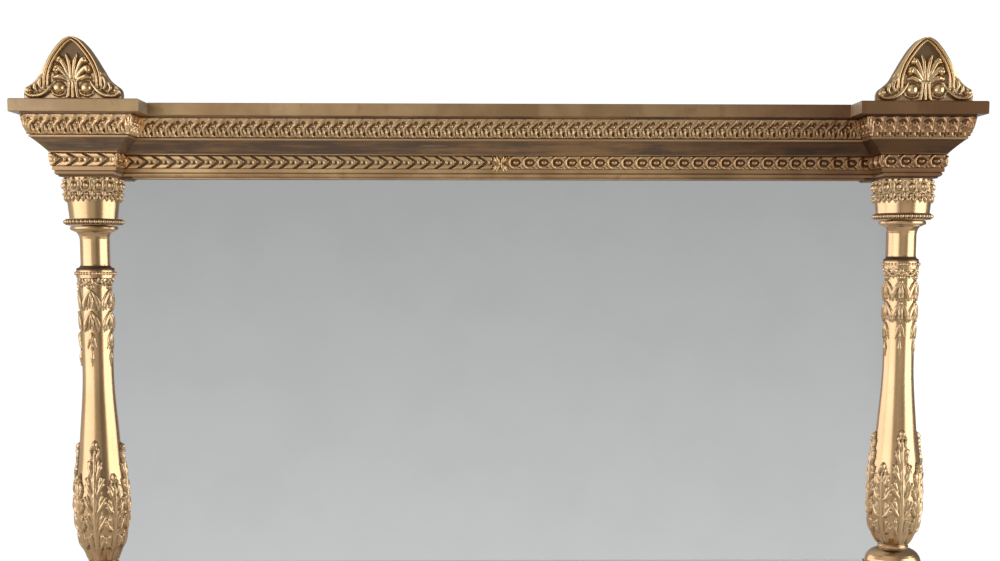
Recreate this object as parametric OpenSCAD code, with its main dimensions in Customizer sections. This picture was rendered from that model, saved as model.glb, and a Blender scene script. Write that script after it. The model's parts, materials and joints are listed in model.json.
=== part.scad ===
// Overmantel mirror: a breakfront cornice on two turned columns, framing one mirror plate.
// Millimetres. X runs along the mirror, Y into the wall, Z up; the underside is at Z = 0.
// Depths named "down" are measured from the top of the cornice boards.

/* [Overall] */
// Width over the boards of the two end blocks
overall_w = 1525; // [1420:5:1640]
// Height of the cornice top above the underside
cornice_top = 960; // [945:5:1000]
// How far the centre run stands back behind the end blocks
break_back = 57; // [50:1:60]

/* [Cornice] */
// Reach of a block's board from its column axis
board_reach = 100.5; // [98:0.5:104]
// Thickness of the cornice boards
board_t = 20; // [16:1:22]
// Length of one leaf of the upper band
leaf_pitch = 20; // [16:0.5:26]
// Relief of the upper leaf band
leaf_relief = 4.2; // [2:0.2:5]
// Length of one pair of laurel leaves
laurel_pitch = 23; // [18:0.5:28]
// Relief of the laurel band
laurel_relief = 3.8; // [2:0.2:4.6]

/* [Acroteria] */
// Width across the scrolled feet
acro_w = 151; // [130:1:160]
// Height of the left point above the cornice
acro_h_left = 95; // [80:0.5:110]
// Height of the right point above the cornice
acro_h_right = 98.5; // [80:0.5:110]
// Thickness of the flat back, without the relief
acro_t = 13; // [11:1:16]

/* [Columns] */
// Height of the left capital's drum
drum_h_left = 65.7; // [58:0.1:70]
// Height of the right capital's drum
drum_h_right = 55.1; // [48:0.1:62]
// Left neck, from capital to the middle of the beaded ring
neck_h_left = 69.1; // [60:0.1:74]
// Right neck, from capital to the middle of the beaded ring
neck_h_right = 63.7; // [56:0.1:70]
// Beaded ring to the tip of the front acanthus leaf
shaft_h = 279.5; // [265:0.5:290]
// Left bulb, from leaf tip to foot
bulb_h_left = 196.6; // [188:0.1:204]
// Right bulb, from leaf tip to foot
bulb_h_right = 188.3; // [182:0.1:196]
// Radius of the neck
neck_r = 23.2; // [22:0.1:25]
// Radius of the shaft at its slimmest
shaft_r = 25.1; // [24:0.1:27]
// Greatest radius of the bulb, under the leaves
bulb_r = 41.8; // [38:0.2:43]
// Beads round the collar of a capital
collar_beads = 40; // [30:2:44]

/* [Frame] */
// Thickness of the stiles and rails
frame_t = 35; // [33:1:38]
// Width of a stile
stile_w = 41; // [40:1:44]
// Lap of the frame over the mirror plate
rebate_w = 12; // [10:1:14]
// Thickness of the mirror plate
plate_t = 4; // [3:0.5:6]
// Thickness of the backboards
backboard_t = 8; // [6:1:9]
// Height of the bottom rail
rail_h = 140; // [130:1:150]

/* [Plinths] */
// Height of a plinth
plinth_h = 160; // [150:1:165]
// Half the width of a plinth's base
plinth_half = 62; // [60:1:66]

/* [Wall plates] */
// Width of a wall plate
wall_plate_w = 36; // [30:1:40]
// Hole for the wall screw
wall_hole_d = 5; // [4:0.5:6]
// Height of the wall screw hole above the cornice top
wall_hole_up = 15; // [12:1:20]

/* [Hidden] */

$fn = 72;
// clearance between a round peg, tenon or screw and its hole
clear = 0.05;
// gap under pressed ornament on a curved bed, so that flat facets stay clear of it
seat_gap = 0.35;
leaf_gap = 1.1;

// the column axes stand at X = +-axis_x and Y = 0 before the whole is centred in depth
axis_x = overall_w / 2 - board_reach;
frame_front = 20;
frame_back = frame_front + frame_t;
wall_plate_t = 2.5;
mid_shift = (board_reach - frame_back - wall_plate_t) / 2;

// half the width of an entablature core, and the thickness of its cheek past the stile
core_half = 36;
core_cheek = 9;
stile_out = axis_x + core_half - core_cheek;
stile_in = stile_out - stile_w;

// depths of the cornice members
mould_down = board_t;
archi_down = board_t + 57;
soffit_down = board_t + 96.5;
// beds of the two ornament bands: [reach, down] at the upper and lower edge
leaf_bed = [[84.5, board_t + 2], [74.8, board_t + 34]];
laurel_bed = [[50.6, archi_down + 2], [47.8, archi_down + 23.4]];

// mirror sight edge, rebate and backboard rebate
sight_top = cornice_top - 112;
plate_y = frame_front + 10;
rebate_x = stile_in + rebate_w;
rebate_bot = rail_h - rebate_w;
rebate_top = sight_top + rebate_w;
board_ledge = 10;
board_y = frame_back - backboard_t;

// turned sections, left then right, measured down from the cornice top
collar_h = 19.3;
capital_foot = [soffit_down + drum_h_left + collar_h, soffit_down + drum_h_right + collar_h];
ring_down = [capital_foot[0] + neck_h_left, capital_foot[1] + neck_h_right];
tip_down = [ring_down[0] + shaft_h, ring_down[1] + shaft_h];
bulb_h = [bulb_h_left, bulb_h_right];
foot_down = [tip_down[0] + bulb_h_left, tip_down[1] + bulb_h_right];
plinth_down = cornice_top - plinth_h;
// bead circle radius, bead radius, count and lip radius of the beaded ring on each neck
ring_path = [31.4, 29.2];
ring_bead = [2.7, 2.5];
ring_count = [36, 32];
ring_lip = [29.4, 27.4];

function side_of(i) = i == 0 ? -1 : 1;
function mix(a, b, t) = a + (b - a) * t;
function clamp(x, a, b) = min(max(x, a), b);
function smooth(x) = let (t = clamp(x, 0, 1)) t * t * (3 - 2 * t);
function hill(x, c, w) = let (t = (x - c) / w) max(0, 1 - t * t);

// points on an arc between two angles
function arc(cx, cy, r, a0, a1, n) =
  [for (i = [0 : n]) let (a = mix(a0, a1, i / n)) [cx + r * cos(a), cy + r * sin(a)]];

// smooth curve through stations [position, value]
function slope(s, i) =
  let (a = max(i - 1, 0), b = min(i + 1, len(s) - 1)) (s[b][1] - s[a][1]) / (s[b][0] - s[a][0]);
function span(s, x, i = 0) = i >= len(s) - 2 || x < s[i + 1][0] ? i : span(s, x, i + 1);
function curve(s, x) =
  let (i = span(s, x), h = s[i + 1][0] - s[i][0], t = clamp((x - s[i][0]) / h, 0, 1),
       m0 = slope(s, i) * h, m1 = slope(s, i + 1) * h)
  (2*t*t*t - 3*t*t + 1) * s[i][1] + (t*t*t - 2*t*t + t) * m0
  + (3*t*t - 2*t*t*t) * s[i + 1][1] + (t*t*t - t*t) * m1;

// ---------- shared forms ----------

// raised relief: a grid of front points over a bed, closed round the edge;
// a flat bed needs only its two side edges, a curved one has its own grid
module relief(nu, nv, front, bed, flat = false) {
  w = nv + 1;
  n = (nu + 1) * w;
  step = flat ? 2 : w;
  last = flat ? 1 : nv;
  pts = concat(
    [for (i = [0 : nu], j = [0 : nv]) front(i / nu, j / nv)],
    [for (i = [0 : nu], j = [0 : last]) bed(i / nu, j / last)]);
  top = [for (i = [0 : nu - 1], j = [0 : nv - 1], k = [0, 1]) let (a = i * w + j)
    k == 0 ? [a, a + w, a + w + 1] : [a, a + w + 1, a + 1]];
  under = [for (i = [0 : nu - 1], j = [0 : last - 1], k = [0, 1]) let (a = n + i * step + j)
    k == 0 ? [a, a + step + 1, a + step] : [a, a + 1, a + step + 1]];
  sides = [for (i = [0 : nu - 1], k = [0 : 3])
    let (a = i * w, b = n + i * step, c = a + nv, d = b + last)
    k == 0 ? [a, b, b + step] : k == 1 ? [a, b + step, a + w]
    : k == 2 ? [c, c + w, d + step] : [c, d + step, d]];
  ends = flat
    ? [for (e = [0, 1], j = [0 : nv]) let (a = e * nu * w, b = n + e * nu * step,
        t = j < nv ? [a + j, a + j + 1, b] : [a + nv, b + 1, b])
        e == 0 ? t : [t[1], t[0], t[2]]]
    : [for (e = [0, 1], j = [0 : nv - 1], k = [0, 1]) let (a = e * nu * w + j, b = n + a,
        t = k == 0 ? [a, a + 1, b + 1] : [a, b + 1, b])
        e == 0 ? t : [t[1], t[0], t[2]]];
  polyhedron(points = pts, faces = concat(top, under, sides, ends));
}

// ornament strip: rows run along it, the first and last row lie on the bed
module strip(n, rows, at) {
  w = rows + 1;
  pts = [for (i = [0 : n], j = [0 : rows]) at(i, j / rows)];
  faces = concat(
    [for (i = [0 : n - 1], j = [0 : rows - 1], k = [0, 1]) let (a = i * w + j)
      k == 0 ? [a, a + w, a + w + 1] : [a, a + w + 1, a + 1]],
    [for (i = [0 : n - 1], k = [0, 1]) let (a = i * w, b = a + rows)
      k == 0 ? [a, b, b + w] : [a, b + w, a + w]],
    [[for (j = [0 : rows]) j]],
    [[for (j = [rows : -1 : 0]) n * w + j]]);
  polyhedron(points = pts, faces = faces);
}

// run of moulding along X; reach is toward the front
module run_x(profile, x0, x1) {
  translate([x0, 0, 0])
    rotate([90, 0, 90])
      linear_extrude(x1 - x0)
        polygon([for (p = profile) [-p[0], cornice_top - p[1]]]);
}

// run of moulding along Y on the right block; reach is toward +X times dir
module run_y(profile, y0, y1, dir) {
  translate([axis_x, y1, 0])
    rotate([90, 0, 0])
      linear_extrude(y1 - y0)
        polygon([for (p = profile) [dir * p[0], cornice_top - p[1]]]);
}

// plan of one mitred piece as a tall prism
module plan(pts) {
  translate([0, 0, cornice_top - soffit_down - 5])
    linear_extrude(soffit_down + 10)
      polygon(pts);
}

module both_sides() {
  children();
  mirror([1, 0, 0]) children();
}

module centred() {
  translate([0, mid_shift, 0]) children();
}

// ---------- entablature ----------

// fillet, sloping bed for the leaves, small fillet and the hollow frieze
hollow_top = [75.4, board_t + 37.2];
hollow_foot = [54.8, archi_down];
hollow = let (dx = hollow_top[0] - hollow_foot[0], dz = hollow_foot[1] - hollow_top[1], sag = 0.5,
              c = norm([dx, dz]), r = c * c / (8 * sag) + sag / 2)
  [for (i = [0 : 10]) let (t = i / 10, q = (t - 0.5) * c, d = sqrt(r * r - q * q) - (r - sag))
    mix(hollow_top, hollow_foot, t) - d * [dz, dx] / c];
cornice_profile = concat(
  [[core_half, mould_down], [87, mould_down], [87, board_t + 2], leaf_bed[0], leaf_bed[1],
   [77.4, board_t + 34], [77.4, board_t + 36.6], hollow_top],
  [for (i = [1 : 9]) hollow[i]],
  [hollow_foot, [core_half, archi_down]]);

// fillet, sloping bed for the laurel, flat fascia, quirk, ovolo and lower fillet
archi_profile = concat(
  [[core_half, archi_down], [54.4, archi_down], [54.4, archi_down + 1.6], laurel_bed[0],
   laurel_bed[1], [50.4, archi_down + 23.8], [50.4, archi_down + 29.6],
   [47, archi_down + 30.2], [47, archi_down + 31.4]],
  arc(42.8, archi_down + 32, 5.4, 0, 84, 6),
  [[42.6, archi_down + 38], [42.6, soffit_down], [core_half, soffit_down]]);

reach_max = board_reach + 5;
mitre_front = [[-core_half, -core_half], [-reach_max, -reach_max], [reach_max, -reach_max],
  [core_half, -core_half]];
mitre_outer = [[core_half, -core_half], [reach_max, -reach_max], [reach_max, frame_back],
  [core_half, frame_back]];
mitre_inner = [[-core_half, -core_half], [-reach_max, -reach_max],
  [-reach_max, break_back - reach_max], [frame_front - break_back, frame_front],
  [-core_half, frame_front]];

// one of the three mitred pieces round the right block
module block_run(profile, part) {
  pts = part == "front" ? mitre_front : part == "outer" ? mitre_outer : mitre_inner;
  intersection() {
    if (part == "front")
      run_x(profile, axis_x - reach_max, axis_x + reach_max);
    if (part == "outer")
      run_y(profile, -reach_max, frame_back, 1);
    if (part == "inner")
      run_y(profile, -reach_max, frame_front, -1);
    translate([axis_x, 0, 0]) plan(pts);
  }
}

module block_piece(profile, part, side) {
  if (side > 0)
    block_run(profile, part);
  else
    mirror([1, 0, 0]) block_run(profile, part);
}

module centre_run(profile) {
  back = axis_x - (break_back - frame_front);
  front = axis_x - reach_max;
  intersection() {
    translate([0, break_back, 0]) run_x(profile, -axis_x, axis_x);
    plan([[-back, frame_front], [-front, break_back - reach_max],
      [front, break_back - reach_max], [back, frame_front]]);
  }
}

module cornice_mould_centre() color("#b98d4e") centre_run(cornice_profile);
module cornice_mould(part, side) color("#b98d4e") block_piece(cornice_profile, part, side);
module architrave_centre() color("#c59a58") centre_run(archi_profile);
module architrave(part, side) color("#c59a58") block_piece(archi_profile, part, side);

// board edge with its two arrises eased
module eased_board(x0, x1, y0, ease) {
  z0 = cornice_top - board_t;
  z1 = cornice_top;
  intersection() {
    translate([x0, 0, 0])
      rotate([90, 0, 90])
        linear_extrude(x1 - x0)
          polygon([[frame_back, z0], [y0 + 0.8, z0], [y0, z0 + 0.8], [y0, z1 - ease],
            [y0 + ease, z1], [frame_back, z1]]);
    translate([0, frame_back, 0])
      rotate([90, 0, 0])
        linear_extrude(frame_back - y0)
          polygon([[x0, z0], [x1 - 0.8, z0], [x1, z0 + 0.8], [x1, z1 - ease], [x1 - ease, z1],
            [x0 + ease, z1], [x0, z1 - ease]]);
  }
}

module dowel_holes(side, r, z0, z1) {
  for (dx = [-32, 32])
    translate([side * axis_x + dx, acro_y, z0]) cylinder(r = r, h = z1 - z0);
}

module cornice_board_centre() color("#c9a36a") {
  x = axis_x - board_reach;
  y0 = break_back - board_reach;
  z0 = cornice_top - board_t;
  rotate([90, 0, 90])
    translate([0, 0, -x])
      linear_extrude(2 * x)
        polygon([[frame_back, z0], [y0 + 0.8, z0], [y0, z0 + 0.8], [y0, cornice_top - 1.5],
          [y0 + 1.5, cornice_top], [frame_back, cornice_top]]);
}

module cornice_board(side) color("#c9a36a") difference() {
  translate([side * axis_x, 0, 0]) eased_board(-board_reach, board_reach, -board_reach, 1.5);
  dowel_holes(side, dowel_r + clear, cornice_top - dowel_sink, cornice_top + 1);
}

// block behind the mouldings, with a cheek that covers the outer face of the stile
module core(side) color("#a9794a") {
  in = core_half - core_cheek;
  translate([side * axis_x, 0, cornice_top - soffit_down])
    linear_extrude(soffit_down - board_t)
      scale([side, 1])
        polygon([[-core_half, -core_half], [core_half, -core_half], [core_half, frame_back],
          [in, frame_back], [in, frame_front], [-core_half, frame_front]]);
}

// ---------- ornament bands ----------

// point on a bed at fraction t, lifted by h square to it: [reach, down]
function on_bed(bed, t, h) =
  let (d = bed[1] - bed[0], n = [d[1], -d[0]] / norm(d)) mix(bed[0], bed[1], t) + n * h;

// plan position round the right block for a given reach:
// leg 0 runs from the wall to the outer corner, 1 along the front, 2 back to the centre run
function round_block(leg, f, w) =
  leg == 0 ? [axis_x + w, mix(frame_back, -w, f)]
  : leg == 1 ? [mix(axis_x + w, axis_x - w, f), -w]
  : [axis_x - w, mix(-w, break_back - w, f)];

// leaf-and-dart: slanting leaves with a round bud between their lower ends
function leaf_height(p, t, slant) =
  let (lean = 0.5 + 0.5 * cos(360 * (p + slant * (t - 0.5))),
       bud = 0.5 - 0.5 * cos(360 * p))
  t <= 0 || t >= 1 ? 0 : 0.9 + (leaf_relief - 0.9) * (t < 0.7 ? lean : max(lean * 0.6, bud));

// laurel: pairs of leaves pointing along the band
function laurel_height(p, t, dir) =
  let (q = p - dir * (1 - abs(2 * t - 1)) * 0.5, s = q - floor(q))
  t <= 0 || t >= 1 ? 0 : 1 + (laurel_relief - 1) * (1 - abs(2 * s - 1)) * (0.45 + 0.55 * sin(180 * t));

// upright leaf that folds over each mitred corner
function corner_leaf(d, t, tall) = t <= 0 || t >= 1 ? 0 : tall * hill(d, 0, 1.1) * (0.5 + 0.5 * sin(180 * t));

// strip round the right block; cols is the number of stations in one unit
module block_band(bed, pitch, cols, rows, height, tall) {
  reach = (bed[0][0] + bed[1][0]) / 2;
  runs = [frame_back + reach, 2 * reach, break_back];
  n = [for (l = runs) cols * round(l / pitch)];
  total = n[0] + n[1] + n[2];
  strip(total, rows, function (i, t)
    let (leg = i < n[0] ? 0 : i < n[0] + n[1] ? 1 : 2,
         first = leg == 0 ? 0 : leg == 1 ? n[0] : n[0] + n[1],
         f = (i - first) / n[leg],
         edge = min(abs(i - n[0]), abs(i - n[0] - n[1])) / cols,
         h = max(height(i / cols, t), corner_leaf(edge, t, tall)),
         b = on_bed(bed, t, h),
         trim = leg == 2 ? f * (1 - 0.2 / break_back) : f,
         p = round_block(leg, trim, b[0]))
    [p[0], p[1], cornice_top - b[1]]);
}

// straight strip on the centre run between two fractions of its half length, from -1 to 1
module centre_band(bed, pitch, cols, rows, f0, f1, height) {
  reach = (bed[0][0] + bed[1][0]) / 2;
  n = cols * round((f1 - f0) * (axis_x - reach) / pitch);
  strip(n, rows, function (i, t)
    let (b = on_bed(bed, t, height(i / cols, t)),
         x = mix(f1, f0, i / n) * (axis_x - b[0] - 0.2))
    [x, break_back - b[0], cornice_top - b[1]]);
}

module leaf_band_centre() color("#e3bd78")
  centre_band(leaf_bed, leaf_pitch, 4, 4, -1, 1, function (p, t) leaf_height(p, t, 0.7));

module leaf_band_left() color("#e3bd78") mirror([1, 0, 0])
  block_band(leaf_bed, leaf_pitch, 4, 4, function (p, t) leaf_height(p, t, -0.7), 4);

// the right block has upright leaves, where the rest of the band slants
module leaf_band_right() color("#e3bd78")
  block_band(leaf_bed, leaf_pitch, 4, 4, function (p, t) leaf_height(p, t, 0), 4);

// half the gap left for the rosette, as a share of the half length
rosette_gap = 13.5 / axis_x;

module laurel_band_centre() color("#e3bd78") both_sides()
  centre_band(laurel_bed, laurel_pitch, 3, 4, rosette_gap, 1,
    function (p, t) laurel_height(p, t, 1));

module laurel_band(side) color("#e3bd78")
  mirror([side < 0 ? 1 : 0, 0, 0])
    block_band(laurel_bed, laurel_pitch, 3, 4, function (p, t) laurel_height(p, t, 1), 3.6);

// crossed ribbon with a button in the middle, seated on the sloping laurel bed
module rosette() color("#ecc983") {
  mid = on_bed(laurel_bed, 0.5, 0);
  d = laurel_bed[1] - laurel_bed[0];
  translate([0, break_back - mid[0], cornice_top - mid[1]])
    rotate([90 + atan2(-d[0], d[1]), 0, 0])
      relief(8, 8,
        function (u, v) let (x = 2 * u - 1, y = 1 - 2 * v, r = norm([x, y]),
          arm = max(hill(x - y, 0, 0.42), hill(x + y, 0, 0.42)))
          [12.6 * x, 9.8 * y, 0.8 + 2.6 * arm * (1 - 0.3 * r) + 1.6 * hill(r, 0, 0.3)],
        function (u, v) [12.6 * (2 * u - 1), 9.8 * (1 - 2 * v), 0], true);
}

// ---------- acroteria ----------

// half width against height, as shares of the whole
acro_outline = [[0, 1], [0.1, 1], [0.17, 0.962], [0.235, 0.855], [0.3, 0.76], [0.365, 0.7], [0.43, 0.655],
  [0.5, 0.602], [0.6, 0.528], [0.7, 0.448], [0.8, 0.362], [0.88, 0.275], [0.94, 0.195], [0.975, 0.12],
  [1, 0.012]];
acro_y = -board_reach + 16;
acro_x = axis_x + 1.8;
dowel_r = 3;
dowel_sink = 14;

function acro_half(f) = acro_w / 2 * curve(acro_outline, f);

// relief of the ornament above its flat ground, at x and at a share f of the height
function acro_relief(x, f) =
  let (z = 95 * f, a = abs(x), edge = acro_half(f) - a,
       rim = f > 0.2 ? 5.5 * hill(edge, 4.6, 4.6) : 0,
       inner = f > 0.16 ? 3.4 * hill(edge, 12.2, 3) : 0,
       foot = norm([a - 61, z - 13]),
       scroll = 6 * hill(foot, 9, 4.4) + 6 * hill(foot, 0, 4.6),
       ball = 8.5 * hill(norm([a - 17, z - 17]), 0, 9.5),
       wave = 3.6 * hill(norm([a - 40, z - 4 - 0.012 * (a - 26) * (a - 26)]), 0, 12),
       stem = z < 34 ? 4.6 * max(hill(a, 0, 2.6), hill(a, 6.2, 2.6)) : 0,
       dx = a, dz = z - 26, rad = norm([dx, dz]), ang = atan2(dx, max(dz, 0.01)),
       reach = 47 - 0.33 * ang,
       lobe = dz > 0 && edge > 14 ? 6.4 * pow(abs(cos(ang * 3.6)), 1.4)
         * smooth(rad / 12) * smooth((reach - rad) / 7) : 0)
  2.2 + max(rim, inner, scroll, ball, wave, stem, lobe);

module acroterion(side) color("#dcb26a") difference() {
  h = side < 0 ? acro_h_left : acro_h_right;
  up = function (u) 1 - pow(1 - u, 1.12);
  translate([side * acro_x, acro_y, cornice_top])
    relief(20, 22,
      function (u, v) let (x = acro_half(up(u)) * (2 * v - 1), rim = v == 0 || v == 1 || u == 0 || u == 1)
        [x, -(rim ? acro_t - 5.5 : acro_t - 6 + 0.9 * acro_relief(x, up(u))), h * up(u)],
      function (u, v) [acro_half(up(u)) * (2 * v - 1), 6, h * up(u)],
      true);
  dowel_holes(side, dowel_r + clear, cornice_top - 1, cornice_top + dowel_sink);
}

module acroterion_dowels() color("#c8a274")
  for (side = [-1, 1])
    dowel_holes(side, dowel_r, cornice_top - dowel_sink + 0.5, cornice_top + dowel_sink - 0.5);

// ---------- turned columns ----------

// everything in front of the flat where a turned piece meets the stile
module flat_back(i) {
  intersection() {
    translate([side_of(i) * axis_x, 0, 0]) children();
    translate([side_of(i) * axis_x - 80, frame_front - 160, 0]) cube([160, 160, cornice_top]);
  }
}

// bulb of each column: share of the way from leaf tip to foot, share of the greatest radius
bulb_line = [
  [[0.14, 0.828], [0.305, 0.926], [0.45, 0.986], [0.56, 1], [0.64, 0.98], [0.71, 0.935],
   [0.79, 0.866], [0.865, 0.772], [0.93, 0.646], [1, 0.514]],
  [[0.06, 0.81], [0.165, 0.87], [0.276, 0.932], [0.382, 0.976], [0.49, 0.992], [0.6, 1], [0.7, 0.995],
   [0.76, 0.972], [0.82, 0.92], [0.872, 0.858], [0.924, 0.768], [0.972, 0.64], [1, 0.525]]
];

// radius of the shaft and bulb at a depth below the cornice top
function shaft_line(i) =
  let (t = tip_down[i])
  concat([[ring_down[i] + 9, shaft_r + 0.4], [t - 190, shaft_r + 0.1], [t - 110, shaft_r],
          [t - 77, 26.6], [t - 57, 28.1], [t - 38, 29.7], [t - 18, 31.4]],
         [for (p = bulb_line[i]) [t + bulb_h[i] * p[0], bulb_r * p[1]]]);
function shaft_radius(i, d) = curve(shaft_line(i), d);

// radius of the capital's drum: the left one tapers, the right one is wider
function drum_line(i) =
  let (d = capital_foot[i] - collar_h, r = i == 0 ? [43.6, 43, 41.4, 38.2] : [44.4, 44.6, 44.6, 43])
  [[soffit_down, r[0]], [soffit_down + 18, r[1]], [soffit_down + 36, r[2]], [d, r[3]]];

module turned(profile) {
  rotate_extrude($fn = 96)
    polygon([for (p = profile) [p[0], cornice_top - p[1]]]);
}

// beads round a turned piece, left off where the flat back cuts it
module beads(n, path, r, d) {
  for (k = [0 : n - 1])
    if (-path * cos(360 * k / n) < frame_front - r)
      rotate([0, 0, 360 * k / n])
        translate([0, -path, cornice_top - d])
          sphere(r = r, $fn = 20);
}

collar_path = [45.4, 46];
collar_bead = 3.3;
tenon_top_r = 11;
tenon_foot_r = 9;
tenon_l = 24;

module capital(i) color("#e2b96f") difference() {
  d = capital_foot[i] - collar_h;
  line = drum_line(i);
  path = collar_path[i];
  flat_back(i) union() {
    turned(concat(
      [[0, soffit_down]],
      [for (k = [0 : 8]) let (q = mix(soffit_down, d, k / 8)) [curve(line, q), q]],
      [[path - 0.8, d + 0.8], [path - 0.4, d + 1.4], [path - 0.4, d + 9.4],
       [path - 1.2, d + 10.4], [37.4, d + 11.4]],
      arc(34.4, d + 15.4, 3.8, -90, 90, 8),
      [[0, capital_foot[i]]]));
    beads(collar_beads, path, collar_bead, d + 5.4);
  }
  translate([side_of(i) * axis_x, 0, cornice_top - capital_foot[i] - 1])
    cylinder(r = tenon_top_r + clear, h = tenon_l + 1.5);
}

module column(i) color("#e9c47c") flat_back(i) union() {
  c = capital_foot[i];
  g = ring_down[i];
  s = tip_down[i];
  f = foot_down[i];
  steps = 34;
  turned(concat(
    [[0, c - tenon_l], [tenon_top_r, c - tenon_l], [tenon_top_r, c], [33, c], [32.6, c + 1.2]],
    [for (k = [1 : 6]) let (a = 90 * k / 6) [neck_r + 8.9 * (1 - sin(a)), c + 1.2 + 16.4 * (1 - cos(a))]],
    [[neck_r, g - 15]],
    [for (k = [1 : 4]) let (a = 90 * k / 4)
      [neck_r + (ring_lip[i] - neck_r) * (1 - cos(a)), g - 15 + 6.5 * sin(a)]],
    [[ring_lip[i] + 0.8, g - 7.6], [ring_lip[i] + 0.8, g - 4.8], [ring_path[i] - 0.3, g - 4],
     [ring_path[i] - 0.3, g + 4], [ring_lip[i] + 0.8, g + 4.6], [ring_lip[i] + 0.8, g + 7],
     [27.4, g + 8]],
    [for (k = [0 : steps]) let (q = mix(g + 9, f, k / steps)) [shaft_radius(i, q), q]],
    [[tenon_foot_r, f], [tenon_foot_r, f + tenon_l - 4], [0, f + tenon_l - 4]]));
  beads(ring_count[i], ring_path[i], ring_bead[i], g);
}

// height that the turned base needs; a hollow takes up what a shorter column leaves
base_h = 53.3;

module column_base(i) color("#d9ae66") difference() {
  f = foot_down[i];
  p = plinth_down;
  k = min(1, (p - f) / base_h);
  spare = p - f - base_h * k;
  flat_back(i) turned(concat(
    [[0, f], [22, f]],
    [for (a = [-80 : 32 : 80]) [21.6 + 3.6 * cos(a), f + (4 + 3.6 * sin(a)) * k]],
    [for (n = [0 : 8]) let (a = 90 * n / 8) [23.4 + 22.6 * sin(a), f + (31 - 22.6 * cos(a)) * k]],
    [[49, f + 31 * k], [49, f + 33.6 * k]],
    spare > 1 ? [for (n = [0 : 6]) [47.5 - 3.5 * sin(30 * n), f + 33.6 * k + spare * n / 6]] : [],
    [for (a = [-80 : 20 : 80]) [46 + 8.6 * cos(a), p - (9.8 - 8.6 * sin(a)) * k]],
    [[55, p - 1.2 * k], [55, p], [0, p]]));
  translate([side_of(i) * axis_x, 0, cornice_top - f - tenon_l + 3.5])
    cylinder(r = tenon_foot_r + clear, h = tenon_l);
}

// ---------- pressed ornament on the columns ----------

// point at an angle from the front and a depth, out from the column axis
function round_pt(i, a, d, r) = [side_of(i) * axis_x + r * sin(a), -r * cos(a), cornice_top - d];

// one acanthus leaf from its foot up to a tip, with lobed edges and a midrib
module acanthus_leaf(i, a, foot, tip, half, nu, nv, thick) {
  outline = function (u) half * (0.12 + 0.88 * pow(sin(min(180, 90 + 90 * pow(u, 1.9))), 0.8))
    * (1 - 0.2 * pow(abs(sin(180 * (4.5 * u + 0.1))), 2) * smooth(u * 4));
  lift = function (u, v) let (x = 2 * v - 1)
    thick * (0.35 + 0.65 * (1 - x * x) * (0.7 + 0.3 * cos(360 * 4.5 * u)) + 0.5 * hill(x, 0, 0.22)
    + 1.1 * hill(u, 1, 0.16)) * (0.35 + 0.65 * smooth(u * 6));
  relief(nu, nv,
    function (u, v) let (d = mix(foot, tip, u), x = 2 * v - 1)
      round_pt(i, a + outline(u) * x, d, shaft_radius(i, d) + leaf_gap + lift(u, v)),
    function (u, v) let (d = mix(foot, tip, u), x = 2 * v - 1)
      round_pt(i, a + outline(u) * x, d, shaft_radius(i, d) + leaf_gap));
}

module acanthus(i) color("#f0cd88") {
  foot = foot_down[i] - 5;
  for (a = [-90, 0, 90])
    acanthus_leaf(i, a, foot, tip_down[i] - (a == 0 ? 0 : 9), 23, 12, 6, 3.2);
  for (a = [-45, 45])
    acanthus_leaf(i, a, foot, tip_down[i] + 56, 21.4, 8, 4, 2.9);
}

// small leaf laid on the column: grows from (a, d) by length l at angle q from straight down
module husk(i, a, d, l, w, q, thick) {
  along = function (u, x) let (s = w * sin(180 * mix(0.12, 0.95, u)) * x)
    [l * u * sin(q) + s * cos(q), l * u * cos(q) - s * sin(q)];
  place = function (u, v, h) let (p = along(u, 2 * v - 1), dd = d + p[1], r = shaft_radius(i, dd) + seat_gap)
    round_pt(i, a + p[0] / r * 57.3, dd, r + h);
  relief(3, 2,
    function (u, v) place(u, v, thick * (v == 0.5 ? 1 : 0.3) * (0.55 + 0.45 * sin(180 * mix(0.1, 0.9, u)))),
    function (u, v) place(u, v, 0));
}

// hanging drop: a flower at the top, two pairs of leaves, a bell and a pendant
module drop(i, a, top) {
  for (s = [-1, 1])
    husk(i, a + s * 9.5, top + 2, 14, 3.4, s * 18, 4.4);
  husk(i, a, top + 5, 17, 3.2, 0, 5);
  for (k = [0, 1], s = [-1, 1])
    husk(i, a + s * 8, top + 28 + 32 * k, 26, 3.9, s * 17, 5);
  husk(i, a, top + 92, 20, 4.8, 0, 4.4);
  husk(i, a, top + 118, 22, 2.6, 0, 3.2);
}

// angles of the three drops from the front; the right column's are turned toward the glass
drop_at = [[-76, -4, 68], [-72, -14, 44]];

module garland(i) color("#f0cd88")
  for (a = drop_at[i])
    drop(i, a, ring_down[i] + 10);

module capital_leaves(i) color("#f0cd88") {
  line = drum_line(i);
  n = 20;
  width = function (u) 7.9 * (u < 0.5 ? 1 : cos(180 * (u - 0.5))) + 0.6;
  for (k = [-5 : 5]) {
    a = 360 / n * k;
    tall = k % 2 == 0 ? 37 : 34;
    relief(4, 2,
      function (u, v) let (d = soffit_down + tall * u, h = v == 0.5 ? 3.6 - 1.2 * u : 1.7 - 0.8 * u)
        round_pt(i, a + width(u) * (2 * v - 1), d, curve(line, d) + seat_gap + h),
      function (u, v) let (d = soffit_down + tall * u)
        round_pt(i, a + width(u) * (2 * v - 1), d, curve(line, d) + seat_gap));
  }
}

// ---------- frame ----------

peg_r = 4;
peg_x = stile_in + 12;
peg_z = [40, 90, sight_top + 49, sight_top + 74];
tenon_y = frame_front + 12;
tenon_t = 11;

module tenons(z0, z1, grow) {
  for (s = [-1, 1])
    translate([s > 0 ? stile_in - 1 : -stile_in - 30 - grow, tenon_y - grow, z0 - grow])
      cube([31 + grow, tenon_t + 2 * grow, z1 - z0 + 2 * grow]);
}

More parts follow.
